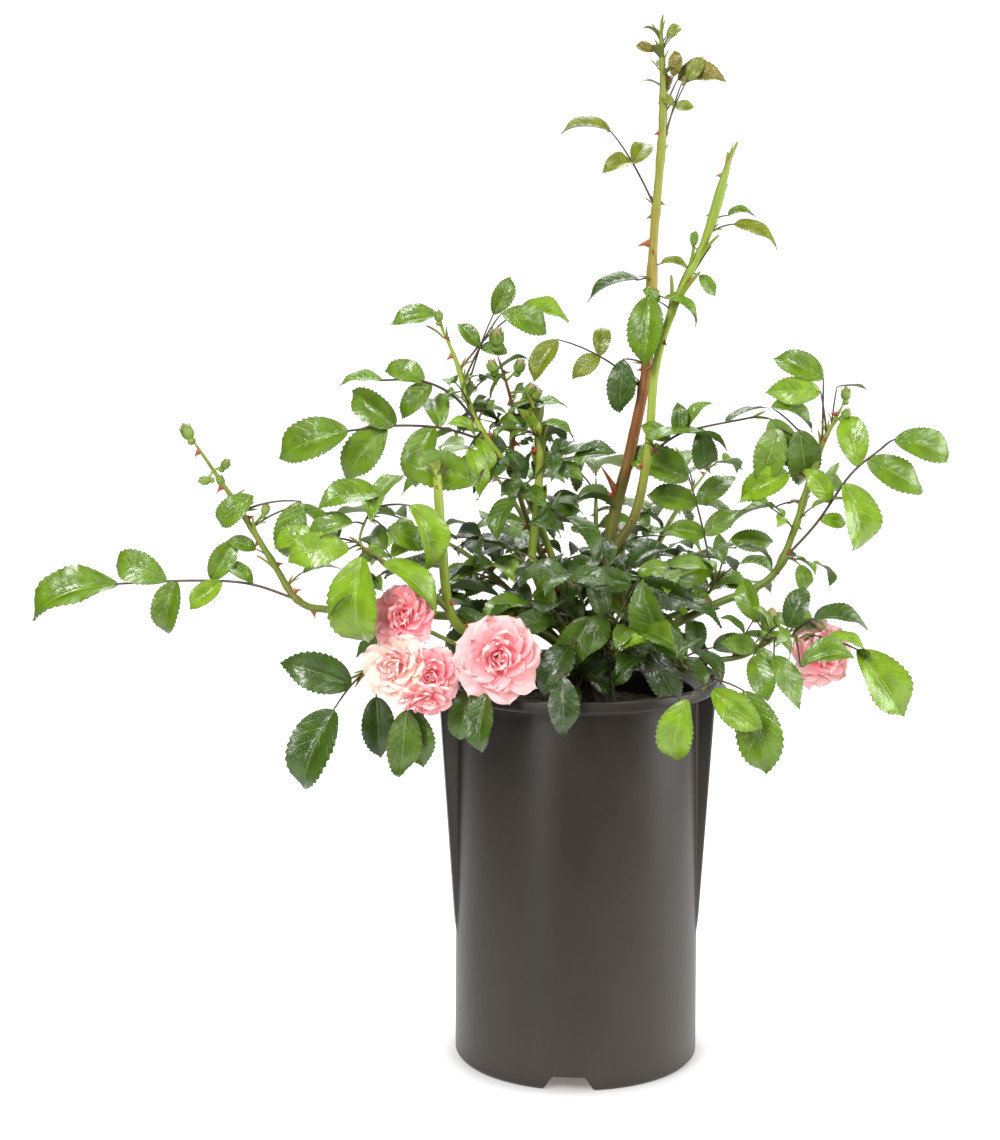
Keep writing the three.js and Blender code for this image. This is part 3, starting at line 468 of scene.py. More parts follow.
addCane(
    name="upper_left_cane", spray="upper_left_spray", bark="fresh", radii=(2.6, 1.3), split=0.45, seed=53,
    path=[
        foot(150), (-8, -2, 300), (-32, -10, 363), (-57, -15, 399), (-68, -8, 420),
        (-76, -3, 446), (-87, 0, 471),
    ],
    twigs=[
        dict(
            at=0.49, radii=(1.3, 1), path=[(0, 0, 0), (-28, -5, 9), (-58, -9, 11), (-87, -12, 8)],
            leaves=[
                leaf(0.99, (-1, 0, 0), 49, (-1, 0, -0.25)),
                leaf(0.72, (0, 0, -2), 42, (-0.75, 0, -0.8)),
                leaf(0.66, (0, 0, 2), 36, (-0.7, 0, 0.5)),
                leaf(0.4, (0, 0, -2), 40, (-0.4, -0.1, -1)),
                leaf(0.36, (0, 0, 2), 30, (-0.2, 0.6, 0.8), above),
            ],
        ),
        dict(
            at=0.57, radii=(1.3, 1), path=[(0, 0, 0), (-16, -1, 18), (-36, -4, 27), (-60, -2, 27)],
            leaves=[
                leaf(0.99, (-1, 0, 0), 25, (-1, 0, 0.1), above),
                leaf(0.62, (0, 0, 2), 28, (-0.8, 0, 0.6)),
                leaf(0.55, (0, 0, -2), 28, (-0.8, 0, -0.7)),
            ],
        ),
    ],
    leaves=[
        leaf(0.46, (-10, -30, -16), 46, (-1, 0, 0.25)),
        leaf(0.53, (-8, -22, -8), 34, (0.4, -0.3, -0.8), right, pairs=1),
        leaf(0.62, (6, -6, 4), 20, (1, 0, 0.1), above),
        leaf(0.71, (17, 2, 49), 25, (0.5, 0, 0.9), pairs=1),
        leaf(0.75, (24, -6, 44), 34, (1, 0, -0.3)),
        leaf(0.8, (36, 6, 36), 32, (1, 0.2, -0.1), above),
        leaf(0.97, (-3, 0, 9), 28, (-1, 0, -0.12)),
        leaf(0.66, (-10, 14, 6), 21, face=above, pairs=1),
    ],
    buds=[bud(1, (0, 0, 2), 3), bud(0.7, (2, -3, 5), 3)],
)
addCane(
    name="bud_cane", spray="bud_cane_spray", bark="red", radii=(2.1, 1.2), split=0.62, seed=61,
    path=[foot(110), (-8, 10, 300), (-27, 6, 334), (-41, 2, 380), (-41, 0, 416), (-51, 0, 452)],
    leaves=[
        leaf(0.72, (-10, -4, 8), 20, (-0.9, 0, 0.4), above),
        leaf(0.76, (10, -4, 8), 24, (0.9, 0, 0.4), above, pairs=1),
        leaf(0.7, (14, 12, 2), 28, face=above, pairs=1),
        leaf(0.66, (-6, -12, -2), 30, pairs=1),
    ],
    buds=[
        bud(1, (0, -13, 8), 5.2), bud(0.9, (-8, -16, 9), 3.8), bud(0.9, (8, -15, 9), 4),
        bud(0.86, (12, -14, 2), 3.8), bud(0.82, (14, -13, 6), 3.8),
    ],
)
addCane(
    name="middle_stub", spray="middle_stub_spray", bark="fresh", radii=(2.8, 2.2), split=0.5, seed=71,
    path=[foot(262), (-12, -18, 285), (-28, -20, 320), (-26, -20, 360), (-24, -20, 389), (-26, -20, 410)],
    leaves=[
        leaf(0.98, (4, -3, 2), 22, (1, 0, -0.15), above),
        leaf(0.96, (-4, 3, 2), 20, (-1, 0, 0.1), above),
        leaf(0.8, (14, -4, 2), 28, (1, 0, 0.1), above, pairs=1),
        leaf(0.74, (10, 12, -2), 30, face=above, pairs=1),
        leaf(0.66, (-12, -10, -4), 32, face=left, pairs=1),
        leaf(0.6, (16, -14, -8), 34, face=right, pairs=1),
    ],
)
addCane(
    name="right_arch", spray="right_arch_spray", bark="green", radii=(3, 1.4), split=0.4, seed=83,
    path=[
        foot(340), (45, -13, 273), (80, -20, 294), (118, -25, 313), (133, -23, 342),
        (142, -21, 372), (151, -20, 398), (164, -20, 424),
    ],
    twigs=[dict(
        at=0.49, radii=(1.3, 1), path=[(0, 0, 0), (20, -5, 24), (40, -6, 54), (60, -5, 71)],
        leaves=[
            leaf(0.99, (7, 0, 5), 40, (1, 0, -0.25)),
            leaf(0.83, (2, 0, -1), 42, (1, 0, -0.55)),
            leaf(0.74, (-1, 0, 3), 35, (-0.15, 0, 1)),
            leaf(0.6, (1, -2, -2), 48, (0.35, 0, -1), tint="bright"),
            leaf(0.47, (-2, 0, 3), 26, (-0.6, 0, 0.9)),
            leaf(0.36, (2, -1, 0), 18, (0.9, 0, -0.1)),
        ],
    )],
    leaves=[
        leaf(0.845, (0, 0, 41), 33, (-0.9, 0, 0.5)),
        leaf(0.88, (-5, -5, 27), 32, (-1, 0, 0.05)),
        leaf(0.91, (3, 1, 24), 18, (1, 0, 0.1), (0, -0.3, 1)),
        leaf(0.8, (-26, -6, 20), 38, (-0.25, 0, -1), tint="mid"),
        leaf(0.78, (-11, -8, 22), 42, (0.15, 0, -1), tint="mid"),
        leaf(0.81, (-30, -2, 30), 30, (1, 0, -0.2), above),
        leaf(0.73, (-14, -5, 4), 34, (-1, 0, -0.5)),
        leaf(0.66, (-16, 8, -4), 30, (-1, 0.3, -0.2), above),
        leaf(0.5, (9, -6, -4), 21, (0.3, 0, -1)),
        leaf(0.6, (8, -6, 10), 24, (1, 0, 0.2), above),
        leaf(0.66, (10, 16, 8), 32, face=right),
    ],
    buds=[bud(1, (0, 0, 2), 3.4), bud(0.93, (6, -1, 3), 3)],
)
addCane(
    name="right_middle_cane", spray="right_middle_spray", bark="red", radii=(2, 1.3), split=0.62, seed=97,
    path=[foot(30), (50, 12, 278), (76, 14, 290), (90, 12, 306)],
    leaves=[
        leaf(0.94, (-17, 0, 69), 44, (-1, 0, 0.35), pairs=2),
        leaf(0.98, (8, -3, 28), 26, (1, 0, -0.1)),
        leaf(1, (14, -2, 12), 26, (1, 0, -0.2), above),
        leaf(0.9, (-18, -10, 8), 27, (-1, 0, 0.2), above, pairs=1),
        leaf(0.86, (18, 16, 2), 34, face=above, pairs=1),
        leaf(0.76, (8, 18, 10), 34, face=above, pairs=1),
    ],
)
addCane(
    name="lower_right_cane", spray="lower_right_spray", bark="red", radii=(2.2, 1.3), split=0.5, seed=101,
    path=[
        foot(315), (42, -29, 264), (75, -42, 265), (100, -49, 269), (121, -50, 281), (138, -48, 280),
    ],
    leaves=[
        leaf(0.82, (4, -4, 6), 28, (0.4, 0, 1)),
        leaf(0.74, (-8, -6, 14), 28, (-0.4, 0, 1), left),
        leaf(0.9, (12, -8, 12), 34, (1, 0, 0.1), above),
        leaf(0.96, (14, -14, 2), 32, (1, 0, -0.15), above, tint="bright"),
        leaf(1, (31, -6, -6), 50, (0.7, 0, -1), tint="bright"),
        leaf(0.93, (0, -24, -14), 31, (1, 0, 0.1), above),
        leaf(0.7, (-6, -12, -4), 30, (0.2, -0.5, -0.7), pairs=1),
        leaf(0.78, (-2, -16, -8), 34, (0.5, -0.3, -0.9)),
        leaf(0.86, (10, 18, 4), 34, face=above, pairs=1),
    ],
    buds=[bud(0.68, (6, -6, 16), 6)],
    blooms=[bloom(1, (12, 0, -10), 19, (0.3, -1, 0.2), "rose")],
)
addCane(
    name="front_right_cane", spray="front_right_spray", bark="green", radii=(2, 1.3), split=0.6, seed=113,
    path=[foot(300), (38, -38, 266), (60, -64, 264), (76, -80, 257)],
    leaves=[
        leaf(1, (-14, -22, -4), 42, (-0.4, -0.1, -1), tint="bright"),
        leaf(0.93, (4, -22, -1), 36, (0.7, -0.1, -0.6), tint="bright"),
        leaf(0.86, (27, -14, -5), 50, (0.22, 0, -1), tint="mid"),
        leaf(0.78, (-2, -12, 8), 44, (-0.9, 0, 0.5), above, tint="bright"),
        leaf(0.72, (-12, -8, 18), 40, (-0.3, 0, 1), left),
        leaf(0.68, (-22, -18, 2), 34, (-0.6, -0.3, -0.9)),
    ],
)
addCane(
    name="bloom_cane", spray="bloom_cane_spray", bark="green", radii=(2.3, 1.5), split=0.6, seed=127,
    path=[foot(232), (-22, -32, 266), (-44, -54, 270), (-66, -68, 276)],
    leaves=[
        leaf(0.7, (-10, -42, -14), 36, (-0.2, -0.1, -1)),
        leaf(0.76, (-16, -22, -16), 34, (-0.3, -0.3, -1)),
        leaf(0.9, (4, 6, 20), 34, (0.9, 0.3, 0.3), above, pairs=1),
    ],
    blooms=[
        bloom(0.93, (12, -34, 3), 24.5, (0.05, -1, 0.3), "rose"),
        bloom(1, (-41, -26, 26), 18, (-0.1, -1, 0.35), "coral"),
        bloom(1, (-47, -32, -4), 19, (-0.4, -1, 0.1), "peach"),
        bloom(0.96, (-27, -36, -9), 17, (-0.05, -1, 0.1), "ruby"),
        bloom(0.96, (-29, -40, -25), 15, (0.15, -0.7, -0.9)),
    ],
)
addCane(
    name="lower_left_cane", spray="lower_left_spray", bark="green", radii=(2.1, 1.2), split=0.5, seed=131,
    path=[foot(214), (-48, -40, 260), (-88, -50, 264), (-114, -55, 267), (-131, -66, 262)],
    leaves=[
        leaf(1, (-18, -14, -20), 54, (-0.45, -0.1, -1)),
        leaf(0.96, (-10, -10, -7), 44, (-1, 0, 0.32)),
        leaf(0.9, (1, -16, -15), 38, (0, -0.05, -1)),
        leaf(0.54, (-12, -38, -21), 42, (-0.12, -0.1, -1)),
        leaf(0.6, (-4, -26, -24), 36, (0.3, -0.3, -1)),
        leaf(0.7, (-6, 12, 8), 34, face=above, pairs=1),
    ],
)

# Short leafy shoots round the middle and longer ones at the back, as even spirals of compound leaves
fillShoots = dict(
    count=7, azimuth=65, reach=(62, 86), rise=(34, 104), seeds=(500, 7, 900),
    look=dict(leaves=4, radii=(1.9, 1.1), split=0),
)
backShoots = dict(
    ways=[(52, 128, 118), (88, 122, 112), (122, 138, 124), (158, 128, 88)], seed=1300,
    look=dict(leaves=5, radii=(2.4, 1.2), split=0.4),
)
usualSize = 40                 # the length of a shoot's leaflets, but for the airier ones
airySizes = dict(
    inner_spray_1=30, inner_spray_3=32, inner_spray_6=30, back_cane_1=24, back_cane_2=34, back_cane_3=34,
    back_cane_4=31,
)
leafRule = dict(
    arch=0.14, tilt=(0.25, 0.25, 0.15), droop=(0.06, 0.16), pairsFrom=0.78, pairsPast=0.6, spread=(58, 8, 10),
    pairSize=(0.88, 0.14), pairStray=(0.9, 1.08), stalk=(0.8, 0.5), slim=0.68, shortest=4, stipulesFrom=12,
)


def spiralShoot(name, azimuth, reach, rise, seed, leaves, radii, split):
    dice = Dice(seed)
    size = airySizes.get(name, usualSize)
    turn = math.radians(azimuth)
    ahead = math.cos(turn), math.sin(turn)

    def station(share, height):
        x, y = crown["x"] + ahead[0] * reach * share, crown["y"] + ahead[1] * reach * share
        return x, y, soilTop + height

    path = [
        foot(azimuth), station(0.3, 30 + rise * 0.3), station(0.66, 30 + rise * 0.72), station(1, 26 + rise),
    ]
    rows = []
    first = max(split + 0.06, 0.4)
    for i in range(leaves):
        share = first + (1 - first) * i / (leaves - 1)
        heading = turn + i * goldenAngle + math.radians(dice.roll(-14, 14))
        if share > 0.97:
            way = (*ahead, 0.25)
        else:
            way = (math.cos(heading), math.sin(heading), dice.roll(0.1, 0.6))
        stalk = size * dice.roll(0.75, 1.1)
        rows.append(leaf(
            min(share, 1), [part * stalk for part in way], size * dice.roll(0.85, 1.1),
            face=(way[0] * 0.4, way[1] * 0.4 - 0.25, 1), pairs=1,
        ))
    spray = f"{name}_spray" if split else name
    addCane(name=name, spray=spray, bark="green", radii=radii, split=split, seed=seed, path=path, leaves=rows)


def fillPlan():
    diceSeed, step, seed = fillShoots["seeds"]
    for i in range(fillShoots["count"]):
        dice = Dice(diceSeed + step * i)
        reach, rise = dice.roll(*fillShoots["reach"]), dice.roll(*fillShoots["rise"])
        azimuth = i * goldenTurn + fillShoots["azimuth"]
        spiralShoot(f"inner_spray_{i + 1}", azimuth, reach, rise, seed + i, **fillShoots["look"])
    for i, way in enumerate(backShoots["ways"]):
        spiralShoot(f"back_cane_{i + 1}", *way, backShoots["seed"] + i, **backShoots["look"])


fillPlan()
tell("plan ready")


# Growing the plant

# A leaf's look is drawn from its family of tints
tintFamilies = {
    "shade": ("dark", "deep", "deep", "moss", "mid"),
    "deep": ("dark", "deep", "deep", "moss", "mid"),
    "mid": ("deep", "moss", "mid", "fresh", "fresh"),
    "fresh": ("mid", "fresh", "fresh", "fresh", "bright"),
    "lit": ("fresh", "bright", "fresh", "bright"),
    "bright": ("bright", "bright", "bright"),
    "olive": ("olive", "olive", "fresh", "olive", "rust"),
}
tintDice = Dice(seeds["tints"])
# What leaves stay out of: the pot's wall, the compost and, for extra leaves, the blooms
keepOut = dict(rimTop=249, wall=(70, 92.5), overSoil=4, bloom=1.3)


# Everything that the plan asks for, gathered first and made into meshes afterwards
class Plant:
    def __init__(self):
        self.leaflets = {}     # by tint
        self.petals = {}       # by tint
        self.buds = []
        self.sepals = []
        self.bracts = []
        self.stalks = {"green": [], "dark": []}
        self.blooms = []       # heart and radius
        self.isExtra = False

    def isBlocked(self, point):
        spread = keepOut["bloom"]
        if self.isExtra and any((point - heart).length < size * spread for heart, size in self.blooms):
            return True
        radius = math.hypot(point.x, point.y)
        inner, outer = keepOut["wall"]
        low = radius <= inner and point.z < soilTop + keepOut["overSoil"]
        return point.z < keepOut["rimTop"] and (inner < radius < outer or low)

    def leaflet(self, base, along, face, length, droop, tint):
        x = along.normalized()
        z = face - x * face.dot(x)
        z.normalize()
        steps = [base + x * length * share - z * droop * length * share**2 for share in (0.3, 0.65, 1)]
        if not any(self.isBlocked(step) for step in steps):
            self.leaflets.setdefault(tint, []).append((base, x, z, length, droop))


plant = Plant()
for cane in canes:
    for row in cane.get("blooms", ()):
        plant.blooms.append((Course(cane["path"]).at(row["at"]) + Vector(row["to"]), row["radius"]))


def growLeaf(dice, root, row, tint, stalkKind):
    rule = leafRule
    reach = Vector(row["to"])
    end = root + reach
    line = Arc(root, end, reach.length * rule["arch"])
    upper = Vector(row["face"]).normalized()
    family = tintFamilies[row["tint"] or tint]
    tint = family[tintDice.pick(len(family))]
    size = row["size"]
    sessile = reach.length < rule["shortest"]

    def blade(base, along, length):
        tilt = Vector([dice.roll(-most, most) for most in rule["tilt"]])
        plant.leaflet(base, along, upper + tilt, length, dice.roll(*rule["droop"]), tint)

    along = Vector(row["aim"]) if row["aim"] else line.heading(1)
    blade(root if sessile else end, along, size)
    if not sessile:
        thick, thin = rule["stalk"]
        share = min(1, 0.55 + size / 90)
        stub = end + along.normalized() * size * 0.08, thin * share * 0.8
        plant.stalks[stalkKind].append(line.taper(7, thick, thin, share) + [stub])
        if reach.length > rule["stipulesFrom"]:
            ahead = line.heading(0.05)
            across = upper.cross(ahead).normalized()
            for hand in (-1, 1):
                x = (ahead + across * hand * 0.3).normalized()
                z = (upper - x * upper.dot(x)).normalized()
                plant.bracts.append((root + ahead, x, z, 6 + size * 0.1))
    first, step, stray = rule["spread"]
    largest, less = rule["pairSize"]
    for k in range(1, row["pairs"] + 1):
        place = 1 - k * rule["pairsFrom"] / (row["pairs"] + rule["pairsPast"])
        ahead = line.heading(place)
        across = upper.cross(ahead).normalized()
        for hand in (-1, 1):
            turn = math.radians(first + step * k + dice.roll(-stray, stray))
            way = ahead * math.cos(turn) + across * hand * math.sin(turn)
            share = (largest - less * k) * dice.roll(*rule["pairStray"])
            blade(line.at(place), way, size * share)


budRule = dict(lift=0.8, sunk=0.6, stalkFrom=4, stalk=0.75)


def growBud(root, row):
    to, radius = Vector(row["to"]), row["radius"]
    along = (to.normalized() + Vector((0, 0, budRule["lift"]))).normalized()
    tip = root + to
    if to.length > budRule["stalkFrom"]:
        plant.stalks["green"].append(Arc(root, tip, 0).taper(4, budRule["stalk"], budRule["stalk"]))
    plant.buds.append((tip - along * radius * budRule["sunk"], along, radius))


# Rings of petals from the outermost in: how many, how open, how long for the bloom's radius, which form
bloomRule = dict(sunk=0.35, stalk=1.35, sepals=5, rings=[
    dict(count=8, open=(80, 102), length=(0.94, 1.12), form=0, spin=0.3),
    dict(count=9, open=(62, 88), length=(0.82, 1.02), form=1, spin=0.4),
    dict(count=11, open=(42, 74), length=(0.66, 0.90), form=1, spin=0.5),
    dict(count=12, open=(30, 62), length=(0.54, 0.78), form=2, spin=0.7),
    dict(count=12, open=(16, 52), length=(0.44, 0.66), form=2, spin=0.7),
    dict(count=11, open=(2, 44), length=(0.32, 0.54), form=3, spin=0.6),
])
bloomTints = {
    "rose": ("blush", "blush", "rose", "rose", "deep", "deep"),
    "peach": ("peach", "peach", "peach", "blush", "peach", "blush"),
    "ruby": ("blush", "rose", "deep", "deep", "ruby", "ruby"),
    "coral": ("rose", "deep", "deep", "rose", "ruby", "ruby"),
}


def growBloom(dice, root, row):
    radius = row["radius"]
    along = Vector(row["aim"]).normalized()
    heart = root + Vector(row["to"]) - along * radius * bloomRule["sunk"]
    line = Arc(root, heart - along * radius * 0.2, -2)
    plant.stalks["green"].append(line.taper(5, bloomRule["stalk"], bloomRule["stalk"]))
    side = along.orthogonal().normalized()
    for ring, tint in zip(bloomRule["rings"], bloomTints[row["tint"]]):
        start = dice.roll(0, tau)
        for i in range(ring["count"]):
            opening = math.radians(dice.roll(*ring["open"]))
            length = radius * dice.roll(*ring["length"])
            turn = start + tau * (i + dice.roll(-0.4, 0.4)) / ring["count"]
            out = Quaternion(along, turn) @ side
            x = along * math.cos(opening) + out * math.sin(opening)
            z = along * math.sin(opening) - out * math.cos(opening)
            z = Quaternion(x, dice.roll(-1, 1) * ring["spin"]) @ z
            base = heart + out * radius * 0.08 + along * radius * 0.05 * dice.roll(-1, 1)
            plant.petals.setdefault(tint, []).append((base, x, z, length, ring["form"]))
    for i in range(bloomRule["sepals"]):
        out = Quaternion(along, tau * i / bloomRule["sepals"]) @ side
        x = (out - along * 0.4).normalized()
        plant.sepals.append((heart - along * radius * 0.1, x, along, radius * 0.6))


# Extra leaves that only the finished plant has: a spiral along a stem, each with its face outwards and up
extraRule = dict(
    stray=0.4, lift=(-0.1, 0.5), ahead=0.35, faceOut=0.7, faceWay=0.3, faceUp=(0.35, 1.1), size=(0.78, 1.15),
    reach=(0.8, 1.25), middle=4,
)


def growSideLeaves(dice, course, tint, stalkKind, count, span, size):
    rule = extraRule
    plant.isExtra = True
    for i in range(count):
        share = span[0] + (span[1] - span[0]) * (i + 0.5) / count
        ahead = course.heading(share)
        side = ahead.orthogonal().normalized()
        out = Quaternion(ahead, i * goldenAngle + dice.roll(-rule["stray"], rule["stray"])) @ side
        out = (out + Vector((0, 0, dice.roll(*rule["lift"]))) + ahead * rule["ahead"]).normalized()
        root = course.at(share)
        outwards = Vector((root.x - crown["x"], root.y - rule["middle"], 0)).normalized()
        face = outwards * rule["faceOut"] + out * rule["faceWay"]
        face.z += dice.roll(*rule["faceUp"])
        length = size * dice.roll(*rule["size"])
        row = leaf(share, out * length * dice.roll(*rule["reach"]), length, face=face, pairs=1)
        growLeaf(dice, root, row, tint, stalkKind)
    plant.isExtra = False


# A tuft at a stem's tip: small young leaves or narrow bracts round its last stretch
def growTuft(dice, course, away, count, span, size, flare, narrow):
    for i in range(count):
        share = span[0] + (span[1] - span[0]) * i / (count - 1)
        ahead = course.heading(min(share, 0.99))
        out = Quaternion(ahead, i * goldenAngle) @ ahead.orthogonal().normalized()
        x = (ahead + out * dice.roll(*flare)).normalized()
        z = (ahead - x * ahead.dot(x) - out * 0.4).normalized()
        z = (z - x * z.dot(x)).normalized()
        length = dice.roll(*size)
        place = (course.at(share) + out * away, x, z, length)
        if narrow:
            plant.bracts.append(place)
        else:
            plant.leaflets.setdefault("olive", []).append((*place, 0.1))


# The family of each spray's leaves, the colour of its stalks and its extra leaves: count, span, size
sprayLooks = {
    "front_spray": ("deep", "dark", (4, (0.3, 0.95), 30)),
    "tall_cane_spray": ("olive", "dark", None),
    "forked_cane_spray": ("mid", "dark", None),
    "left_arch_spray": ("fresh", "dark", None),
    "bright_left_spray": ("fresh", "dark", (2, (0.3, 0.9), 28)),
    "upper_left_spray": ("fresh", "dark", (6, (0.47, 0.72), 22)),
    "bud_cane_spray": ("mid", "green", (4, (0.64, 0.84), 16)),
    "middle_stub_spray": ("mid", "dark", (5, (0.5, 0.95), 23)),
    "right_arch_spray": ("lit", "dark", (2, (0.45, 0.62), 24)),
    "right_middle_spray": ("fresh", "dark", None),
    "lower_right_spray": ("mid", "dark", (3, (0.5, 0.9), 27)),
    "front_right_spray": ("deep", "dark", (3, (0.4, 0.8), 32)),
    "bloom_cane_spray": ("deep", "dark", (4, (0.35, 0.8), 32)),
    "lower_left_spray": ("deep", "dark", (2, (0.4, 0.8), 30)),
    "back_cane_1_spray": ("fresh", "dark", None),
}
for i in (1, 3, 4, 6):
    sprayLooks[f"inner_spray_{i}"] = ("mid", "dark", (1, (0.3, 0.6), 38))
fillLook = ("shade", "dark", (2, (0.28, 0.6), 40))
backLook = ("fresh", "dark", (1, (0.42, 0.7), 38))
# Tufts at the tips: count, span, size, how open, bracts or leaves
tufts = {
    "tall_cane": [
        (7, (0.87, 0.965), (10, 15), (0.5, 1.2), False), (9, (0.9, 0.985), (9, 13), (0.1, 0.7), True),
    ],
    "forked_cane": [
        (11, (0.84, 0.95), (17, 26), (-0.2, -0.12), True), (4, (0.72, 0.76), (18, 28), (0.0, 0.16), True),
        (3, (0.8, 0.83), (20, 27), (0.05, 0.25), True),
    ],
    "left_stump": [(4, (0.94, 0.99), (9, 14), (0.3, 0.9), False)],
    "middle_stub": [
        (8, (0.55, 0.97), (13, 22), (0.2, 0.7), False), (7, (0.7, 0.97), (16, 24), (0.0, 0.2), True),
    ],
    "upper_left_cane": [(4, (0.9, 0.99), (10, 15), (0.1, 0.5), True)],
    "left_arch": [(4, (0.6, 0.85), (12, 18), (0.1, 0.3), True)],
    "right_arch": [(4, (0.75, 0.98), (9, 14), (0.1, 0.5), True)],
}
tuftOut = 1.2                  # how far from the stem's middle a tuft's leaves spring
cutFlat = ("left_stump", "middle_stub")
mainTints = dict(lit="bright", shade="deep", deep="moss", mid="mid", fresh="fresh", olive="olive")
sprayTints = {}                # each spray's node and the piece that most of its leaves are in
limbs = []                     # what the bark pieces are made of


def growSpray(name, seed, course, plan):
    tint, stalkKind, extra = sprayLooks.get(name, backLook if name.startswith("back") else fillLook)
    sprayTints[name] = mainTints[tint]
    dice = Dice(seed)
    for row in plan.get("blooms", ()):
        growBloom(Dice(seed + seeds["bloom"]), course.at(row["at"]), row)
    for twig in plan.get("twigs", ()):
        root = course.at(twig["at"])
        path = Course([root + Vector(step) for step in twig["path"]])
        plant.stalks[stalkKind].append(path.taper(24, *twig["radii"], leafRule["slim"]))
        for row in twig["leaves"]:
            growLeaf(dice, path.at(row["at"]), row, tint, stalkKind)
    for row in plan.get("leaves", ()):
        growLeaf(dice, course.at(row["at"]), row, tint, stalkKind)
    for row in plan.get("buds", ()):
        growBud(course.at(row["at"]), row)
    if extra:
        growSideLeaves(Dice(seed + seeds["extra"]), course, tint, stalkKind, *extra)


# A stem for the bark pieces; where leaves and twigs spring from it, it swells
def addLimb(name, course, plan, bark, flat=False):
    joints = [row["at"] for row in (*plan.get("leaves", ()), *plan.get("twigs", ()))]
    limbs.append(dict(
        name=name, course=course, radii=plan["radii"], bark=bark, joints=joints, flat=flat,
        tip=plan.get("tip", 0),
    ))


for cane in canes:
    name, course = cane["name"], Course(cane["path"])
    addLimb(name, course, cane, cane["bark"], name in cutFlat)
    if cane["split"] < 1:
        growSpray(cane.get("spray", name), cane["seed"], course, cane)
    for k, tuft in enumerate(tufts.get(name, ())):
        dice = Dice(cane.get("seed", seeds["stump"]) + seeds["tuft"] + k)
        growTuft(dice, course, tuftOut + cane.get("tip", 0), *tuft)
    side = cane.get("side")
    if side:
        root = course.at(side["at"])
        branch = Course([root + Vector(step) for step in side["path"]])
        addLimb(side["spray"], branch, side, "green")
        growSpray(side["spray"], side["seed"], branch, side)
tell(f"{sum(map(len, plant.leaflets.values()))} leaflets grown")


# Geometry Nodes for what repeats and for what follows a path

class Growth:
    def __init__(self, name, *sockets):
        self.tree = bpy.data.node_groups.new(name, "GeometryNodeTree")
        face = self.tree.interface
        face.new_socket("Geometry", in_out="INPUT", socket_type="NodeSocketGeometry")
        for label, kind in sockets:
            face.new_socket(label, in_out="INPUT", socket_type=f"NodeSocket{kind}")
        face.new_socket("Geometry", in_out="OUTPUT", socket_type="NodeSocketGeometry")
        self.inputs = self.tree.nodes.new("NodeGroupInput").outputs

    def node(self, kind, settings=None, sockets=None, output=0):
        return addNode(self.tree, kind, settings, sockets, output)

    def finish(self, geometry):
        whole = self.node("GeometryNodeRealizeInstances", None, {"Geometry": geometry})
        sockets = {"Geometry": whole, "Material": self.inputs["Finish"]}
        painted = self.node("GeometryNodeSetMaterial", None, sockets)
        feed(self.tree, self.tree.nodes.new("NodeGroupOutput").inputs[0], painted)
        return self.tree

    def value(self, label, dataType="FLOAT"):
        return self.node("GeometryNodeInputNamedAttribute", {"data_type": dataType}, {"Name": label})

    # Shapes from the collection at the points, one kind at each
    def strewn(self, points, turn, size, **more):
        shapes = self.node("GeometryNodeCollectionInfo", None, {
            "Collection": self.inputs["Shapes"], "Separate Children": True, "Reset Children": True,
        })
        return self.finish(self.node("GeometryNodeInstanceOnPoints", None, {
            "Points": points, "Instance": shapes, "Pick Instance": True, "Rotation": turn, "Scale": size,
            **{key.replace("_", " "): value for key, value in more.items()},
        }))


# Shapes set on points, each with its own turn, size and kind
def scatterGrowth():
    growth = Growth("scatter", ("Shapes", "Collection"), ("Overall Size", "Float"), ("Finish", "Material"))
    turn = growth.node("FunctionNodeEulerToRotation", None, {"Euler": growth.value("turn", "FLOAT_VECTOR")})
    size = growth.node(
        "ShaderNodeVectorMath", {"operation": "SCALE"},
        {"Vector": growth.value("size", "FLOAT_VECTOR"), "Scale": growth.inputs["Overall Size"]},
    )
    return growth.strewn(growth.inputs["Geometry"], turn, size, Instance_Index=growth.value("kind", "INT"))


# Round stalks along edges, as thick as each point says
def stalkGrowth():
    growth = Growth("stalks", ("Sides", "Int"), ("Thickness", "Float"), ("Finish", "Material"))
    line = growth.node("GeometryNodeMeshToCurve", None, {"Mesh": growth.inputs["Geometry"]})
    ring = growth.node(
        "GeometryNodeCurvePrimitiveCircle", None, {"Resolution": growth.inputs["Sides"], "Radius": 1.0},
    )
    thickness = growth.value("thickness") * Field(growth.tree, growth.inputs["Thickness"])
    tube = growth.node("GeometryNodeCurveToMesh", None, {
        "Curve": line, "Profile Curve": ring, "Scale": thickness, "Fill Caps": True,
    })
    return growth.finish(growth.node("GeometryNodeSetShadeSmooth", None, {"Geometry": tube}))


# Crumbs lying over the faces that look up
def crumbGrowth():
    growth = Growth(
        "crumbs", ("Shapes", "Collection"), ("Per Square Metre", "Float"), ("Smallest", "Float"),
        ("Largest", "Float"), ("Seed", "Int"), ("Finish", "Material"),
    )
    points = growth.node("GeometryNodeDistributePointsOnFaces", None, {
        "Mesh": growth.inputs["Geometry"], "Density": growth.inputs["Per Square Metre"],
        "Seed": growth.inputs["Seed"],
    })
    turn = growth.node(
        "FunctionNodeRandomValue", {"data_type": "FLOAT_VECTOR"}, {"Max": (tau, tau, tau), "Seed": 3},
    )
    size = growth.node("FunctionNodeRandomValue", {"data_type": "FLOAT"}, {
        2: growth.inputs["Smallest"], 3: growth.inputs["Largest"], "Seed": 5,
    }, 1)
    return growth.strewn(points, turn, size)


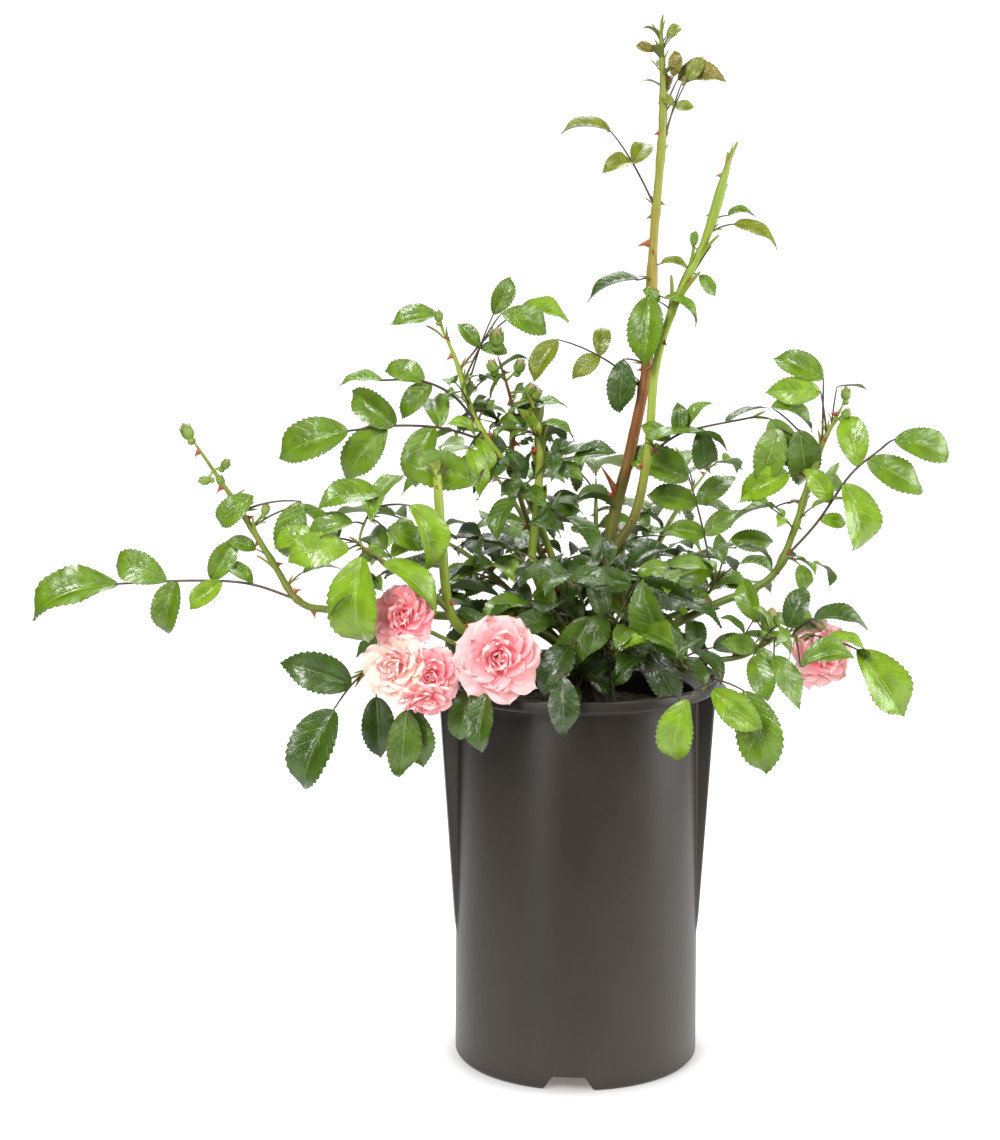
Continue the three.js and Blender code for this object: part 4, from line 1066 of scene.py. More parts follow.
# Runs a growth over a mesh and hands back plain mesh data in the same object
def grown(made, tree, **inputs):
    modifier = made.modifiers.new("growth", "NODES")
    modifier.node_group = tree
    for item in tree.interface.items_tree:
        key = item.name.replace(" ", "_")
        if item.in_out == "INPUT" and key in inputs:
            modifier[item.identifier] = inputs[key]
    bpy.context.view_layer.update()
    depsgraph = bpy.context.evaluated_depsgraph_get()
    mesh = bpy.data.meshes.new_from_object(made.evaluated_get(depsgraph), depsgraph=depsgraph)
    made.modifiers.remove(modifier)
    old = made.data
    made.data = mesh
    bpy.data.meshes.remove(old)
    return made


# Keeps shapes out of the scene, in a collection for a growth to choose from
def shapeStore(name, shapes):
    store = bpy.data.collections.new(name)
    shapeStores.append(store)
    for shape in shapes:
        for holder in list(shape.users_collection):
            holder.objects.unlink(shape)
        store.objects.link(shape)
    return store


shapeStores = []
scatterTree, stalkTree, crumbTree = scatterGrowth(), stalkGrowth(), crumbGrowth()


# A piece made of many shapes, each place with where, along, upper side, size on three sides and kind
def strew(name, places, shapes, finish, nodes=()):
    turns, sizes = [], []
    for _, x, z, size, _ in places:
        turns += Matrix((x, z.cross(x), z)).transposed().to_euler()
        sizes += [side * mm for side in size]
    seeds = seedObject(
        name, [place[0] for place in places], [], turn=("FLOAT_VECTOR", "vector", turns),
        size=("FLOAT_VECTOR", "vector", sizes), kind=("INT", "value", [place[4] for place in places]),
    )
    settle(grown(seeds, scatterTree, Shapes=shapes, Overall_Size=1.0, Finish=finish), None, nodes)


# Blades: leaflets and petals, each a closed thin body one unit long, with the layout shared by all

# The way of a blade's middle where it climbs by pitch and swings by yaw
def bladeWay(pitch, yaw):
    return Vector((math.cos(pitch) * math.cos(yaw), math.sin(yaw) * math.cos(pitch), math.sin(pitch)))


# The line down a blade's middle: pitch and yaw say which way it heads at each share of its length
def bladeSpine(pitch, yaw, steps=64, beyond=8):
    stops = [Vector((0, 0, 0))]
    for i in range(steps + beyond):
        s = (i + 0.5) / steps
        stops.append(stops[-1] + bladeWay(pitch(s), yaw(s)) / steps)

    def at(s):
        place = min(max(s * steps, 0), len(stops) - 1.001)
        i = int(place)
        return stops[i].lerp(stops[i + 1], place - i)

    return at


# outline(s, u) is half the breadth, rise(s, u) the height above the spine's own plane
def bladeShape(
    name, stations, columns, pitch, yaw, twist, outline, rise, thickness, teeth=0, tip=lambda u: 0,
):
    spine = bladeSpine(pitch, yaw)
    points = []

    def point(s, u, side):
        turn = twist * s
        across = Vector((-math.sin(yaw(s)), math.cos(yaw(s)), 0))
        over = bladeWay(pitch(s), yaw(s)).cross(across)
        level = across * math.cos(turn) + over * math.sin(turn)
        up = over * math.cos(turn) - across * math.sin(turn)
        body = thickness * (1 - u * u) * min(1, 8 * s * (1 - s)) if side < 0 else 0
        return spine(s) + level * u * outline(s, u) + up * (rise(s, u) - body)

    def lay(side):
        rows = []
        for i in range(stations + 1):
            row = []
            for j, u in enumerate(columns):
                edge = j in (0, len(columns) - 1)
                if side < 0 and (edge or i in (0, stations)):
                    row.append(rowsAbove[i][j])
                    continue
                s = i / stations * (1 + tip(u))
                bite = teeth * smooth(0.12, 0.4, s) * min(1, (1 - s) * 9) if edge else 0
                if i % 2:
                    s += 0.45 / stations if bite else 0
                else:
                    bite *= -0.5
                row.append(len(points))
                points.append(point(s, u * (1 + bite / max(outline(s, u), 0.02)), side))
            rows.append(row)
        return rows

    rowsAbove = lay(1)
    rowsBelow = lay(-1)
    faces, layout = [], []
    for rows, middle, flip in ((rowsAbove, 0.75, False), (rowsBelow, 0.25, True)):
        for i in range(stations):
            for j in range(len(columns) - 1):
                corners = [(i, j), (i + 1, j), (i + 1, j + 1), (i, j + 1)]
                if flip:
                    corners.reverse()
                faces.append([rows[a][b] for a, b in corners])
                layout.append([(0.01 + 0.98 * a / stations, middle + 0.24 * columns[b]) for a, b in corners])
    rim = {rowsAbove[i][j] for i in range(stations + 1) for j in (0, len(columns) - 1)}
    rim.update(rowsAbove[0] + rowsAbove[-1])
    return mappedObject(name, points, faces, layout, rim)


# A mesh with the shared layout under both names: the one that the finishes read and the one to bake by
def mappedObject(name, points, faces, layout, rim=()):
    mesh = bpy.data.meshes.new(name)
    mesh.from_pydata([tuple(point) for point in points], [], faces)
    for label in (bladeMap, bakeMap):
        uv = mesh.uv_layers.new(name=label)
        for polygon, corners in zip(mesh.polygons, layout):
            for loop, corner in zip(polygon.loop_indices, corners):
                uv.data[loop].uv = corner
    mesh.shade_smooth()
    for edge in mesh.edges:
        edge.use_edge_sharp = edge.vertices[0] in rim and edge.vertices[1] in rim
    return placed(name, mesh)


# A rose leaflet: folded along its midrib, quilted between its veins, curled and twisted, its edge toothed
leafletLook = dict(
    kinds=14, stations=30, columns=(-1, -0.64, -0.3, 0, 0.3, 0.64, 1), thickness=0.011, teeth=0.017,
    broad=(0.26, 0.345), widest=(0.42, 0.53), fold=(8, 40), start=(0.1, 0.45), bend=(0.4, 1.4), hook=(0, 1.0),
    twist=(-0.55, 0.55), sway=(-0.22, 0.22), wave=(0.006, 0.02), waves=2.3, quilt=0.02, veins=7.5, sweep=0.24,
    curled=1.1,
)


def leafletShape(i):
    dice, look = Dice(seeds["leaflet"] + 31 * i), leafletLook
    broad, widest, angle, start, bend, hook, twist, sway, wave = [dice.roll(*look[key]) for key in (
        "broad", "widest", "fold", "start", "bend", "hook", "twist", "sway", "wave",
    )]
    fold, phase = math.tan(math.radians(angle)), dice.roll(0, 6)
    swell = math.log(0.5) / math.log(widest)

    def outline(s, u):
        s = min(max(s, 0), 1)
        body = math.sin(math.pi * s**swell) ** (0.72 + 0.5 * smooth(0.4, 1, s))
        return broad * body + 0.003

    def rise(s, u):
        y = abs(u) * outline(s, u)
        rows = math.sin(tau * look["veins"] * (s - look["sweep"] * abs(u)))
        quilt = look["quilt"] * rows * abs(u) * (1 - abs(u))
        ruffle = wave * math.sin(tau * look["waves"] * s + phase + (2 if u > 0 else 0)) * u * u
        return fold * y * (1 - 0.3 * u * u) + quilt + ruffle

    return bladeShape(
        f"leaflet_{i:02d}", look["stations"], look["columns"], lambda s: start - bend * s - hook * s**4,
        lambda s: sway * s, twist, outline, rise, look["thickness"], look["teeth"],
    )


# Petals from the outermost (0) to the innermost (3), each in a few variants
petalForms = [
    dict(broad=0.60, cup=0.16, start=0.22, bend=-0.45, ruffle=0.06),
    dict(broad=0.58, cup=0.26, start=0.05, bend=-0.20, ruffle=0.07),
    dict(broad=0.54, cup=0.42, start=-0.12, bend=0.45, ruffle=0.07),
    dict(broad=0.52, cup=0.70, start=-0.30, bend=1.3, ruffle=0.06),
]
petalLook = dict(
    variants=4, stations=17, columns=(-1, -0.8, -0.52, -0.22, 0.08, 0.36, 0.64, 0.86, 1), thickness=0.015,
    claw=0.14, opened=0.74, lip=4.5, thinEdge=0.012,
)


def petalShape(form, i):
    dice, look, own = Dice(seeds["petal"] + 170 * form + 17 * i), petalLook, petalForms[form]
    broad = own["broad"] * dice.roll(0.85, 1.12)
    cup = own["cup"] * dice.roll(0.7, 1.3)
    start, bend = own["start"] + dice.roll(-0.12, 0.12), own["bend"] + dice.roll(-0.3, 0.3)
    ruffle, phase = own["ruffle"] * dice.roll(0.7, 1.4), dice.roll(0, 6)
    split, notch = dice.roll(-0.45, 0.45), dice.roll(0.02, 0.1)
    twist, sway = dice.roll(-0.35, 0.35), dice.roll(-0.3, 0.3)

    def outline(s, u):
        s = min(max(s, 0), 1)
        opened = math.sin(math.pi / 2 * min(1, s / look["opened"])) ** 1.4
        body = look["claw"] + (1 - look["claw"]) * opened
        return broad * body * (1 - s ** look["lip"]) ** 0.5 + look["thinEdge"]

    def rise(s, u):
        y = u * outline(s, u)
        return cup * y * y + ruffle * math.sin(4.3 * u + phase) * s**3 - 0.25 * max(0, abs(u) - 0.6) ** 2 * s

    def tip(u):
        dip = notch * math.exp(-((u - split) * 4) ** 2)
        return 0.05 * math.cos(1.4 * u) - dip + 0.018 * math.sin(9 * u + phase)

    return bladeShape(
        f"petal_{form}_{i}", look["stations"], look["columns"], lambda s: start + bend * s,
        lambda s: sway * s, twist, outline, rise, look["thickness"], tip=tip,
    )


# A sepal or small bract: long, narrow and pointed
def sepalShape():
    def outline(s, u):
        return 0.17 * max(0, math.sin(math.pi * min(1, 0.16 + s * 0.84))) ** 0.8 * (1 - 0.3 * s) + 0.004

    return bladeShape(
        "sepal", 9, (-1, -0.5, 0, 0.5, 1), lambda s: 0.1 - 0.5 * s, lambda s: 0.1 * s, 0.2, outline,
        lambda s, u: 0.05 * abs(u), 0.03,
    )


# A closed bud: hip, neck and pointed petals, one unit for its radius, along X
budLook = dict(rings=26, sides=20, turn=0.3, lobes=5, lobe=0.05, shift=0.55, ends=(-0.95, 2.5), profile=[
    (0, -1.5), (0.34, -1.46), (0.62, -1.2), (0.66, -0.85), (0.5, -0.6), (0.72, -0.4), (0.95, 0), (1, 0.35),
    (0.9, 0.8), (0.62, 1.3), (0.3, 1.7), (0, 1.95),
])


def budShape():
    look = budLook
    course = Course([(radius, 0, z) for radius, z in look["profile"]])
    rings, sides = look["rings"], look["sides"]
    points, layout = [], []
    for i in range(1, rings):
        stop = course.at(i / rings)
        for j in range(sides):
            angle = tau * j / sides + look["turn"] * max(0, stop.z)
            lobe = look["lobe"] * math.cos(look["lobes"] * tau * j / sides)
            radius = max(0.01, stop.x) * (1 + lobe * min(1, max(0, stop.z + 0.4)))
            points.append((stop.z + look["shift"], radius * math.cos(angle), radius * math.sin(angle)))
    faces = [(a, d, c, b) for a, b, c, d in gridFaces(rings - 1, sides)]
    across = [0.51 + 0.48 * j / sides for j in range(sides + 1)]
    for i in range(rings - 2):
        low, high = (i + 1) / rings, (i + 2) / rings
        layout += [((low, a), (high, a), (high, b), (low, b)) for a, b in zip(across, across[1:])]
    for ring, x, end in ((0, look["ends"][0], 0.01), (rings - 2, look["ends"][1], 0.99)):
        points.append((x, 0, 0))
        faces += fanFaces(len(points) - 1, ring * sides, sides, ring > 0)
        for j in range(sides):
            layout.append(((end, 0.75), (end - 0.005, across[j]), (end, 0.52 + 0.46 * j / sides)))
    return faceOut(mappedObject("bud", points, faces, layout))


leafletShapes = shapeStore("leaflets", [leafletShape(i) for i in range(leafletLook["kinds"])])
petalShapes = shapeStore("petals", [
    petalShape(form, i) for form in range(len(petalForms)) for i in range(petalLook["variants"])
])
budShapes = shapeStore("buds", [budShape()])
sepalShapes = shapeStore("sepals", [sepalShape()])


# A hooked prickle, one unit long, its foot at the origin, pointing along X
def prickleShape():
    points, sides = [], 8
    for x, radius, drop in ((-0.3, 0.5, 0), (0.1, 0.4, 0), (0.45, 0.2, 0.1), (0.8, 0.08, 0.28)):
        for j in range(sides):
            angle = tau * j / sides
            points.append((x, radius * 0.55 * math.cos(angle), radius * math.sin(angle) - drop))
    points += [(1, 0, -0.42), (-0.3, 0, 0)]
    faces = gridFaces(4, sides)
    for j in range(sides):
        faces.append((3 * sides + j, 3 * sides + (j + 1) % sides, 4 * sides))
        faces.append(((j + 1) % sides, j, 4 * sides + 1))
    return faceOut(meshObject("prickle", points, faces))


# A crumb of compost, or a fleck of bark in it
def crumbShape(i):
    dice = Dice(seeds["crumb"] + i)
    bpy.ops.mesh.primitive_ico_sphere_add(subdivisions=2, radius=1)
    made = bpy.context.object
    made.name = f"crumb_{i}"
    flat = Vector((dice.roll(0.6, 1.2), dice.roll(0.35, 0.8), dice.roll(0.3, 0.7)))
    for vertex in made.data.vertices:
        wave = 1 + 0.35 * noise.noise(vertex.co * 1.7 + Vector((i * 7, 0, 0)))
        vertex.co = vertex.co * wave * flat
    made.data.shade_smooth()
    return made


prickleShapes = shapeStore("prickles", [prickleShape()])
crumbShapes = shapeStore("crumbs", [crumbShape(i) for i in range(5)])
tell("shapes ready")


# Finishes

# A colour made darker or lighter, and shifted
def tone(colour, scale, shift=(0, 0, 0)):
    return tuple(Vector(colour) * scale + Vector(shift))


# Leaves: a plain base colour for each tint, paler along the veins and on the underside
leafTints = {
    "dark": (0.022, 0.050, 0.002),
    "deep": (0.038, 0.086, 0.003),
    "moss": (0.064, 0.130, 0.004),
    "mid": (0.096, 0.178, 0.004),
    "fresh": (0.116, 0.216, 0.004),
    "bright": (0.190, 0.330, 0.008),
    "olive": (0.165, 0.200, 0.008),
    "rust": (0.180, 0.150, 0.008),
}


def leafFinish(name, colour):
    finish = Finish(f"leaf_{name}", Specular_IOR_Level=0.7)
    along, across, isUpper, spread = finish.blade()
    side = abs(across)
    rib = 1 - side.between(0.012, 0.055)
    swept = along - side * leafletLook["sweep"]
    wave = abs((swept * leafletLook["veins"]) % 1 - 0.5)
    vein = (1 - wave.between(0.0, 0.06)) * (1 - side.between(0.75, 0.98)) * along.between(0.02, 0.1)
    cells = finish.node(
        "ShaderNodeTexVoronoi", {"feature": "DISTANCE_TO_EDGE"}, {"Vector": spread, "Scale": 40.0},
    )
    net = 1 - cells.between(0.0, 0.08)
    cloud = finish.noiseOver(spread, 5, 3)
    shaded = finish.mix(cloud.between(0.35, 0.68), tone(colour, 0.82), tone(colour, 1.2))
    veined = finish.mix(net * 0.06 + vein * 0.28, shaded, tone(colour, 1.45, (0.016, 0.02, 0.004)))
    ribbed = finish.mix(rib * 0.6, veined, tone(colour, 1.3, (0.09, 0.10, 0.02)))
    edged = finish.mix(side.between(0.88, 1.0) * 0.55, ribbed, tone(colour, 0.55, (0.012, 0, 0)))
    under = tone(colour, 0.55, (0.045, 0.066, 0.016))
    beneath = finish.mix(vein * 0.3 + rib * 0.5 + net * 0.15, under, tone(under, 1.4))
    finish.put(Base_Color=finish.mix(isUpper, beneath, edged), Roughness=0.48 - isUpper * 0.30 + cloud * 0.08)
    finish.relief(rib * -0.8 + vein * -0.5 + net * -0.15 + wave * (1 - side) + cloud * 0.8, 0.4, 0.0006)
    return finish.material


# Petals: the deep tint towards the claw and in the heart, paler to the lip, and a faint painted glow in their
# own colour that lightens their shading
petalTints = {
    "peach": ((0.91, 0.50, 0.38), (0.94, 0.69, 0.60)),
    "blush": ((0.86, 0.29, 0.31), (0.92, 0.52, 0.52)),
    "rose": ((0.82, 0.17, 0.22), (0.90, 0.40, 0.42)),
    "deep": ((0.80, 0.12, 0.17), (0.89, 0.33, 0.37)),
    "ruby": ((0.74, 0.075, 0.12), (0.86, 0.24, 0.28)),
}


def petalFinish(name, inner, outer):
    # Emission in the petal's own colour is painted light: it lifts the shaded parts of the petals as if light
    # shone through them
    finish = Finish(f"petal_{name}", Roughness=0.55, Specular_IOR_Level=0.25, Emission_Strength=0.1)
    along, _, isUpper, spread = finish.blade()
    stretched = finish.node("ShaderNodeMapping", None, {"Vector": spread, "Scale": (1.2, 14.0, 1.0)})
    streaks = finish.noiseOver(stretched, 3, 2)
    blush = finish.mix((along + (streaks - 0.5) * 0.3).between(0.1, 0.9), inner, outer)
    lip = finish.mix(along.between(0.84, 1.0) * 0.7, blush, (0.95, 0.68, 0.66))
    back = finish.mix(0.4, lip, (0.94, 0.66, 0.63))
    shown = finish.mix(isUpper, back, lip)
    finish.put(Base_Color=shown, Emission_Color=shown)
    finish.relief(streaks, 0.15, 0.0005)
    return finish.material


def budFinish():
    finish = Finish("bud_green", Roughness=0.5)
    tip = finish.blade()[0].between(0.72, 0.98)
    streaks = finish.noise(160, 2, (1, 1, 0.25))
    green = finish.mix(streaks.between(0.35, 0.65), (0.11, 0.19, 0.02), (0.20, 0.30, 0.045))
    finish.put(Base_Color=finish.mix(tip * 0.55, green, (0.55, 0.20, 0.17)))
    return finish.material


# Bark: colours by height from the crown to the plant's top, and a flush in patches. Green and fresh wood is
# green all the way, red wood turns red-brown half way up, and aged wood is olive in its lower part.
barkSpan = (0.24, 0.64)
barkLooks = {
    "green": dict(flush=(0.22, 0.13, 0.03), amount=0.4, stops=(
        (0.0, (0.07, 0.115, 0.008)), (0.12, (0.12, 0.175, 0.012)), (0.4, (0.20, 0.275, 0.025)),
        (1.0, (0.25, 0.33, 0.045)),
    )),
    "fresh": dict(flush=(0.30, 0.20, 0.04), amount=0.25, stops=(
        (0.0, (0.11, 0.17, 0.01)), (0.2, (0.22, 0.31, 0.02)), (0.4, (0.30, 0.40, 0.035)),
        (1.0, (0.20, 0.29, 0.035)),
    )),
    "red": dict(flush=(0.20, 0.062, 0.016), amount=0.4, stops=(
        (0.0, (0.09, 0.13, 0.01)), (0.30, (0.13, 0.13, 0.013)), (0.40, (0.24, 0.082, 0.014)),
        (0.52, (0.25, 0.088, 0.016)), (0.62, (0.33, 0.25, 0.035)), (0.8, (0.28, 0.30, 0.04)),
        (1.0, (0.20, 0.24, 0.025)),
    )),
    "aged": dict(flush=(0.24, 0.20, 0.02), amount=0.3, stops=(
        (0.0, (0.06, 0.065, 0.008)), (0.26, (0.10, 0.095, 0.010)), (0.34, (0.24, 0.30, 0.02)),
        (0.42, (0.30, 0.40, 0.035)), (1.0, (0.20, 0.29, 0.035)),
    )),
}


def barkFinish(name, flush, amount, stops):
    finish = Finish(f"bark_{name}")
    span = {"Value": finish.height(), "From Min": barkSpan[0], "From Max": barkSpan[1]}
    rise = finish.node("ShaderNodeMapRange", None, span)
    body = finish.node("ShaderNodeValToRGB", {"stops": stops}, {"Fac": rise})
    patches = finish.noise(30, 4, (1, 1, 0.5))
    lines = finish.noise(420, 3, (1, 1, 0.16))
    flushed = finish.mix(patches.between(0.5, 0.7) * amount, body, flush)
    streaked = finish.mix(lines.between(0.5, 0.75) * 0.35, flushed, tone(flush, 0.6))
    dots = finish.node("ShaderNodeTexVoronoi", None, {"Vector": finish.where(), "Scale": 800.0})
    specks = 1 - dots.between(0.1, 0.22)
    finish.put(
        Base_Color=finish.mix(specks * 0.3, streaked, (0.50, 0.46, 0.28)), Roughness=0.36 + lines * 0.25,
    )
    finish.relief(lines * 0.6 + patches * 0.3 + specks * 0.3, 0.5, 0.0004)
    return finish.material


# Thin green parts: two colours in soft patches
def stalkFinish(name, colour, other):
    finish = Finish(f"stalk_{name}", Roughness=0.45)
    patches = finish.noise(60, 2)
    finish.put(Base_Color=finish.mix(patches.between(0.35, 0.65), colour, other))
    return finish.material


def crownFinish():
    finish = Finish("crown_bark", Roughness=0.75)
    lines = finish.noise(130, 5, (1, 1, 0.3))
    patches = finish.noise(40, 4)
    body = finish.mix(lines.between(0.35, 0.7), (0.022, 0.015, 0.009), (0.075, 0.054, 0.032))
    finish.put(Base_Color=finish.mix(patches.between(0.5, 0.75) * 0.5, body, (0.07, 0.075, 0.025)))
    finish.relief(lines, 0.9, 0.0015)
    return finish.material


def compostFinish(name, dark, light):
    finish = Finish(name, Roughness=0.92, Specular_IOR_Level=0.25)
    grain = finish.noise(260, 6)
    patches = finish.noise(45, 3)
    body = finish.mix(grain.between(0.3, 0.75), dark, light)
    finish.put(Base_Color=finish.mix(patches.between(0.45, 0.7) * 0.4, body, tone(dark, 0.6)))
    finish.relief(grain, 0.9, 0.001)
    return finish.material


# Nursery plastic: warm black, half glossy, with a faint mould grain and dust near the foot
potLook = dict(colour=(0.021, 0.0155, 0.011), dusty=(0.040, 0.031, 0.023), dustTo=0.07, roughness=0.31)


def potFinish():
    finish = Finish("pot_plastic", Specular_IOR_Level=0.4)
    cloud = finish.noise(14, 4, (1, 1, 0.5))
    grain = finish.noise(900, 2)
    streaks = finish.noise(60, 3, (1, 1, 0.06))
    foot = 1 - finish.height().between(0.0, potLook["dustTo"])
    dust = cloud.between(0.42, 0.72) * 0.5 + foot * 0.3
    finish.put(
        Base_Color=finish.mix(dust, potLook["colour"], potLook["dusty"]),
        Roughness=potLook["roughness"] + cloud * 0.10 + streaks * 0.05,
    )
    finish.relief(grain * 0.25 + streaks * 0.8 + cloud * 1.6, 0.16, 0.0008)
    return finish.material


leafFinishes = {name: leafFinish(name, colour) for name, colour in leafTints.items()}
petalFinishes = {name: petalFinish(name, *colours) for name, colours in petalTints.items()}
barkFinishes = {name: barkFinish(name, **look) for name, look in barkLooks.items()}
stalkFinishes = {
    "green": stalkFinish("green", (0.17, 0.28, 0.025), (0.26, 0.34, 0.05)),
    "dark": stalkFinish("dark", (0.045, 0.026, 0.030), (0.095, 0.060, 0.030)),
}
tell("finishes ready")


# The pot: a turned wall with a rounded rim, two lugs at the sides and notches under the skirt

pot = dict(
    sides=480, round=1.0, step=6,
    profile=[
        (47, 0), (48.5, 9), (73, 9), (73.5, 0), (75.8, 0), (78, 2.6), (76.5, 238), (90, 241), (90, 248),
        (87, 248), (86, 243), (74.5, 238), (75.2, 11), (47, 11), (45, 2),
    ],
    lug=dict(start=86, end=241.5, below=240.5, outside=76, low=1, high=11.9, halfAngle=11),
    notch=dict(count=3, top=20, bottom=33, height=8.6, turn=-5, below=12, outside=73.2),
    ripple=(0.05, 0.04), rippleOutside=60,
)


# The profile with each corner rounded, and with stops along its long sides
def softened(profile, radius, step):
    soft = []
    for i, corner in enumerate(profile):
        here = Vector((*corner, 0))
        if i in (0, len(profile) - 1):
            soft.append(corner)
            continue
        before, after = Vector((*profile[i - 1], 0)), Vector((*profile[i + 1], 0))
        cut = min(radius, (before - here).length * 0.4, (after - here).length * 0.4)
        a = here + (before - here).normalized() * cut
        b = here + (after - here).normalized() * cut
        start = Vector((*soft[-1], 0))
        stops = int((a - start).length / step)
        soft += [tuple(start.lerp(a, k / (stops + 1)))[:2] for k in range(1, stops + 1)]
        for k in range(4):
            w = k / 3
            soft.append(tuple((1 - w) ** 2 * a + 2 * w * (1 - w) * here + w * w * b)[:2])
    return soft


def potShape(radius, z, angle):
    lug, notch = pot["lug"], pot["notch"]
    if lug["start"] < z < lug["below"] and radius > lug["outside"]:
        off = math.degrees(abs(math.remainder(angle, math.pi)))
        share = (z - lug["start"]) / (lug["end"] - lug["start"])
        out = lug["low"] + (lug["high"] - lug["low"]) * share
        radius += out * smooth(lug["halfAngle"] + 0.7, lug["halfAngle"] - 0.9, off) * smooth(0, 0.012, share)
    if z < notch["below"] and radius > notch["outside"]:
        first = math.radians(notch["turn"] - 90)
        off = abs(math.remainder(angle - first, tau / notch["count"])) * radius
        edge = notch["bottom"] / 2 + (notch["top"] - notch["bottom"]) / 2 * 0.6
        lift = notch["height"] * smooth(edge + 4, edge - 3.4, off)
        z += lift * max(0, 1 - z / notch["below"])
    broad, fine = pot["ripple"]
    ripple = broad * math.sin(3 * angle + 1) + fine * math.sin(7 * angle + z * 0.02)
    return radius + (ripple if radius > pot["rippleOutside"] else 0), z


profile = [(0, 0)] + softened(pot["profile"], pot["round"], pot["step"]) + [(0, 2)]
settle(turned("pot", profile, pot["sides"], potShape), potFinish(), ["pot"])
tell("pot made")


# Compost: a bumpy bed inside the wall, strewn with crumbs

soil = dict(
    sides=150, edge=[(0, 200), (30, 200), (73.6, 200), (73.8, 212), (73.9, 222), (73, 223.6)],
    outer=72, steps=36, step=2, level=223.8, heap=0.7, top=224.5, bumps=(1.6, 1.0), bumpSize=0.09,
    flatFrom=78, flatTo=60,
)
crumbLook = dict(
    rings=12, sides=60, inner=8, step=5.7, height=224.2, density=60000.0, smallest=0.0006, largest=0.0021,
)


def soilShape(radius, z, angle):
    if z < soilTop - 3:
        return radius, z
    coarse, fine = soil["bumps"]
    spot = Vector((radius * math.cos(angle), radius * math.sin(angle), 0)) * soil["bumpSize"]
    bump = noise.noise(spot) * coarse + noise.noise(spot * 3) * fine
    return radius, z + bump * smooth(soil["flatFrom"], soil["flatTo"], radius)


def soilProfile():
    profile = list(soil["edge"])
    for i in range(soil["steps"]):
        heap = soil["heap"] * math.sin(i / soil["steps"] * math.pi)
        profile.append((soil["outer"] - soil["step"] * i, soil["level"] + heap))
    return profile + [(0, soil["top"])]


def crumbBed():
    look, points = crumbLook, []
    rings, sides = look["rings"], look["sides"]
    for i in range(rings):
        for j in range(sides):
            angle, radius = tau * j / sides, look["inner"] + look["step"] * i
            r, z = soilShape(radius, look["height"], angle)
            points.append(Vector((r * math.cos(angle), r * math.sin(angle), z)) * mm)
    bed = meshObject("compost_crumbs", points, [face[::-1] for face in gridFaces(rings, sides)])
    return grown(
        bed, crumbTree, Shapes=crumbShapes, Per_Square_Metre=look["density"], Smallest=look["smallest"],
        Largest=look["largest"], Seed=seeds["crumbBed"],
        Finish=compostFinish("crumbs", (0.030, 0.019, 0.011), (0.115, 0.078, 0.046)),
    )


compost = compostFinish("compost", (0.020, 0.013, 0.008), (0.085, 0.058, 0.036))
settle(turned("compost", soilProfile(), soil["sides"], soilShape), compost, ["soil"])
settle(crumbBed(), None)


# The crown: a gnarled knuckle that the canes leave

crownLook = dict(
    sides=72, steps=40, bottom=219, top=38.6, lumps=(0.16, 0.07), ridge=0.04, ridges=11,
    stops=[(17, 0, -6), (17, 0, 0), (13.5, 0, 6), (11.5, 0, 14), (13, 0, 24), (11.5, 0, 32), (6.5, 0, 38)],
)


def crownShape(radius, z, angle):
    coarse, fine = crownLook["lumps"]
    spot = Vector((math.cos(angle) * 2.2, math.sin(angle) * 2.2, z * 0.07))
    lump = noise.noise(spot) * coarse + noise.noise(spot * 3.1) * fine
    ridge = crownLook["ridge"] * math.sin(angle * crownLook["ridges"] + z * 0.25)
    return radius * (1 + lump + ridge), z


def crownPiece():
    look = crownLook
    course = Course(look["stops"])
    stops = [course.at(i / look["steps"]) for i in range(look["steps"] + 1)]
    side = [(stop.x, soilTop + stop.z) for stop in stops]
    profile = [(0, look["bottom"]), *side, (0, soilTop + look["top"])]
    made = turned("crown", profile, look["sides"], crownShape)
    for vertex in made.data.vertices:
        vertex.co.x += crown["x"] * mm
    return made


settle(crownPiece(), crownFinish(), ["crown"])
tell("compost and crown made")


# Canes: a tube along each course with ridged bark, swollen where leaves spring, some cut flat on top

caneLook = dict(
    sides=20, step=2.4, ridge=0.035, rough=0.06, swell=0.2, swellReach=4.0, foot=0.3, footReach=9,
    thinner=0.45, thinnerOver=60, point=0.8, pointOver=9, spindleAt=24, spindleReach=13,
)


# How much thicker a cane is than its plain taper, at a distance along it
def caneSwell(limb, length, along):
    look = caneLook
    share = 1 + look["foot"] * math.exp(-along / look["footReach"])
    for joint in limb["joints"]:
        share *= 1 + look["swell"] * math.exp(-((along - joint * length + 0.6) / look["swellReach"]) ** 2)
    if not limb["flat"]:
        share *= 1 - look["thinner"] * smooth(length - look["thinnerOver"], length, along)
        share *= 1 - look["point"] * smooth(length - look["pointOver"], length, along)
        beyond = (along - length + look["spindleAt"]) / look["spindleReach"]
        share *= 1 + limb["tip"] * math.exp(-beyond ** 2)
    return share


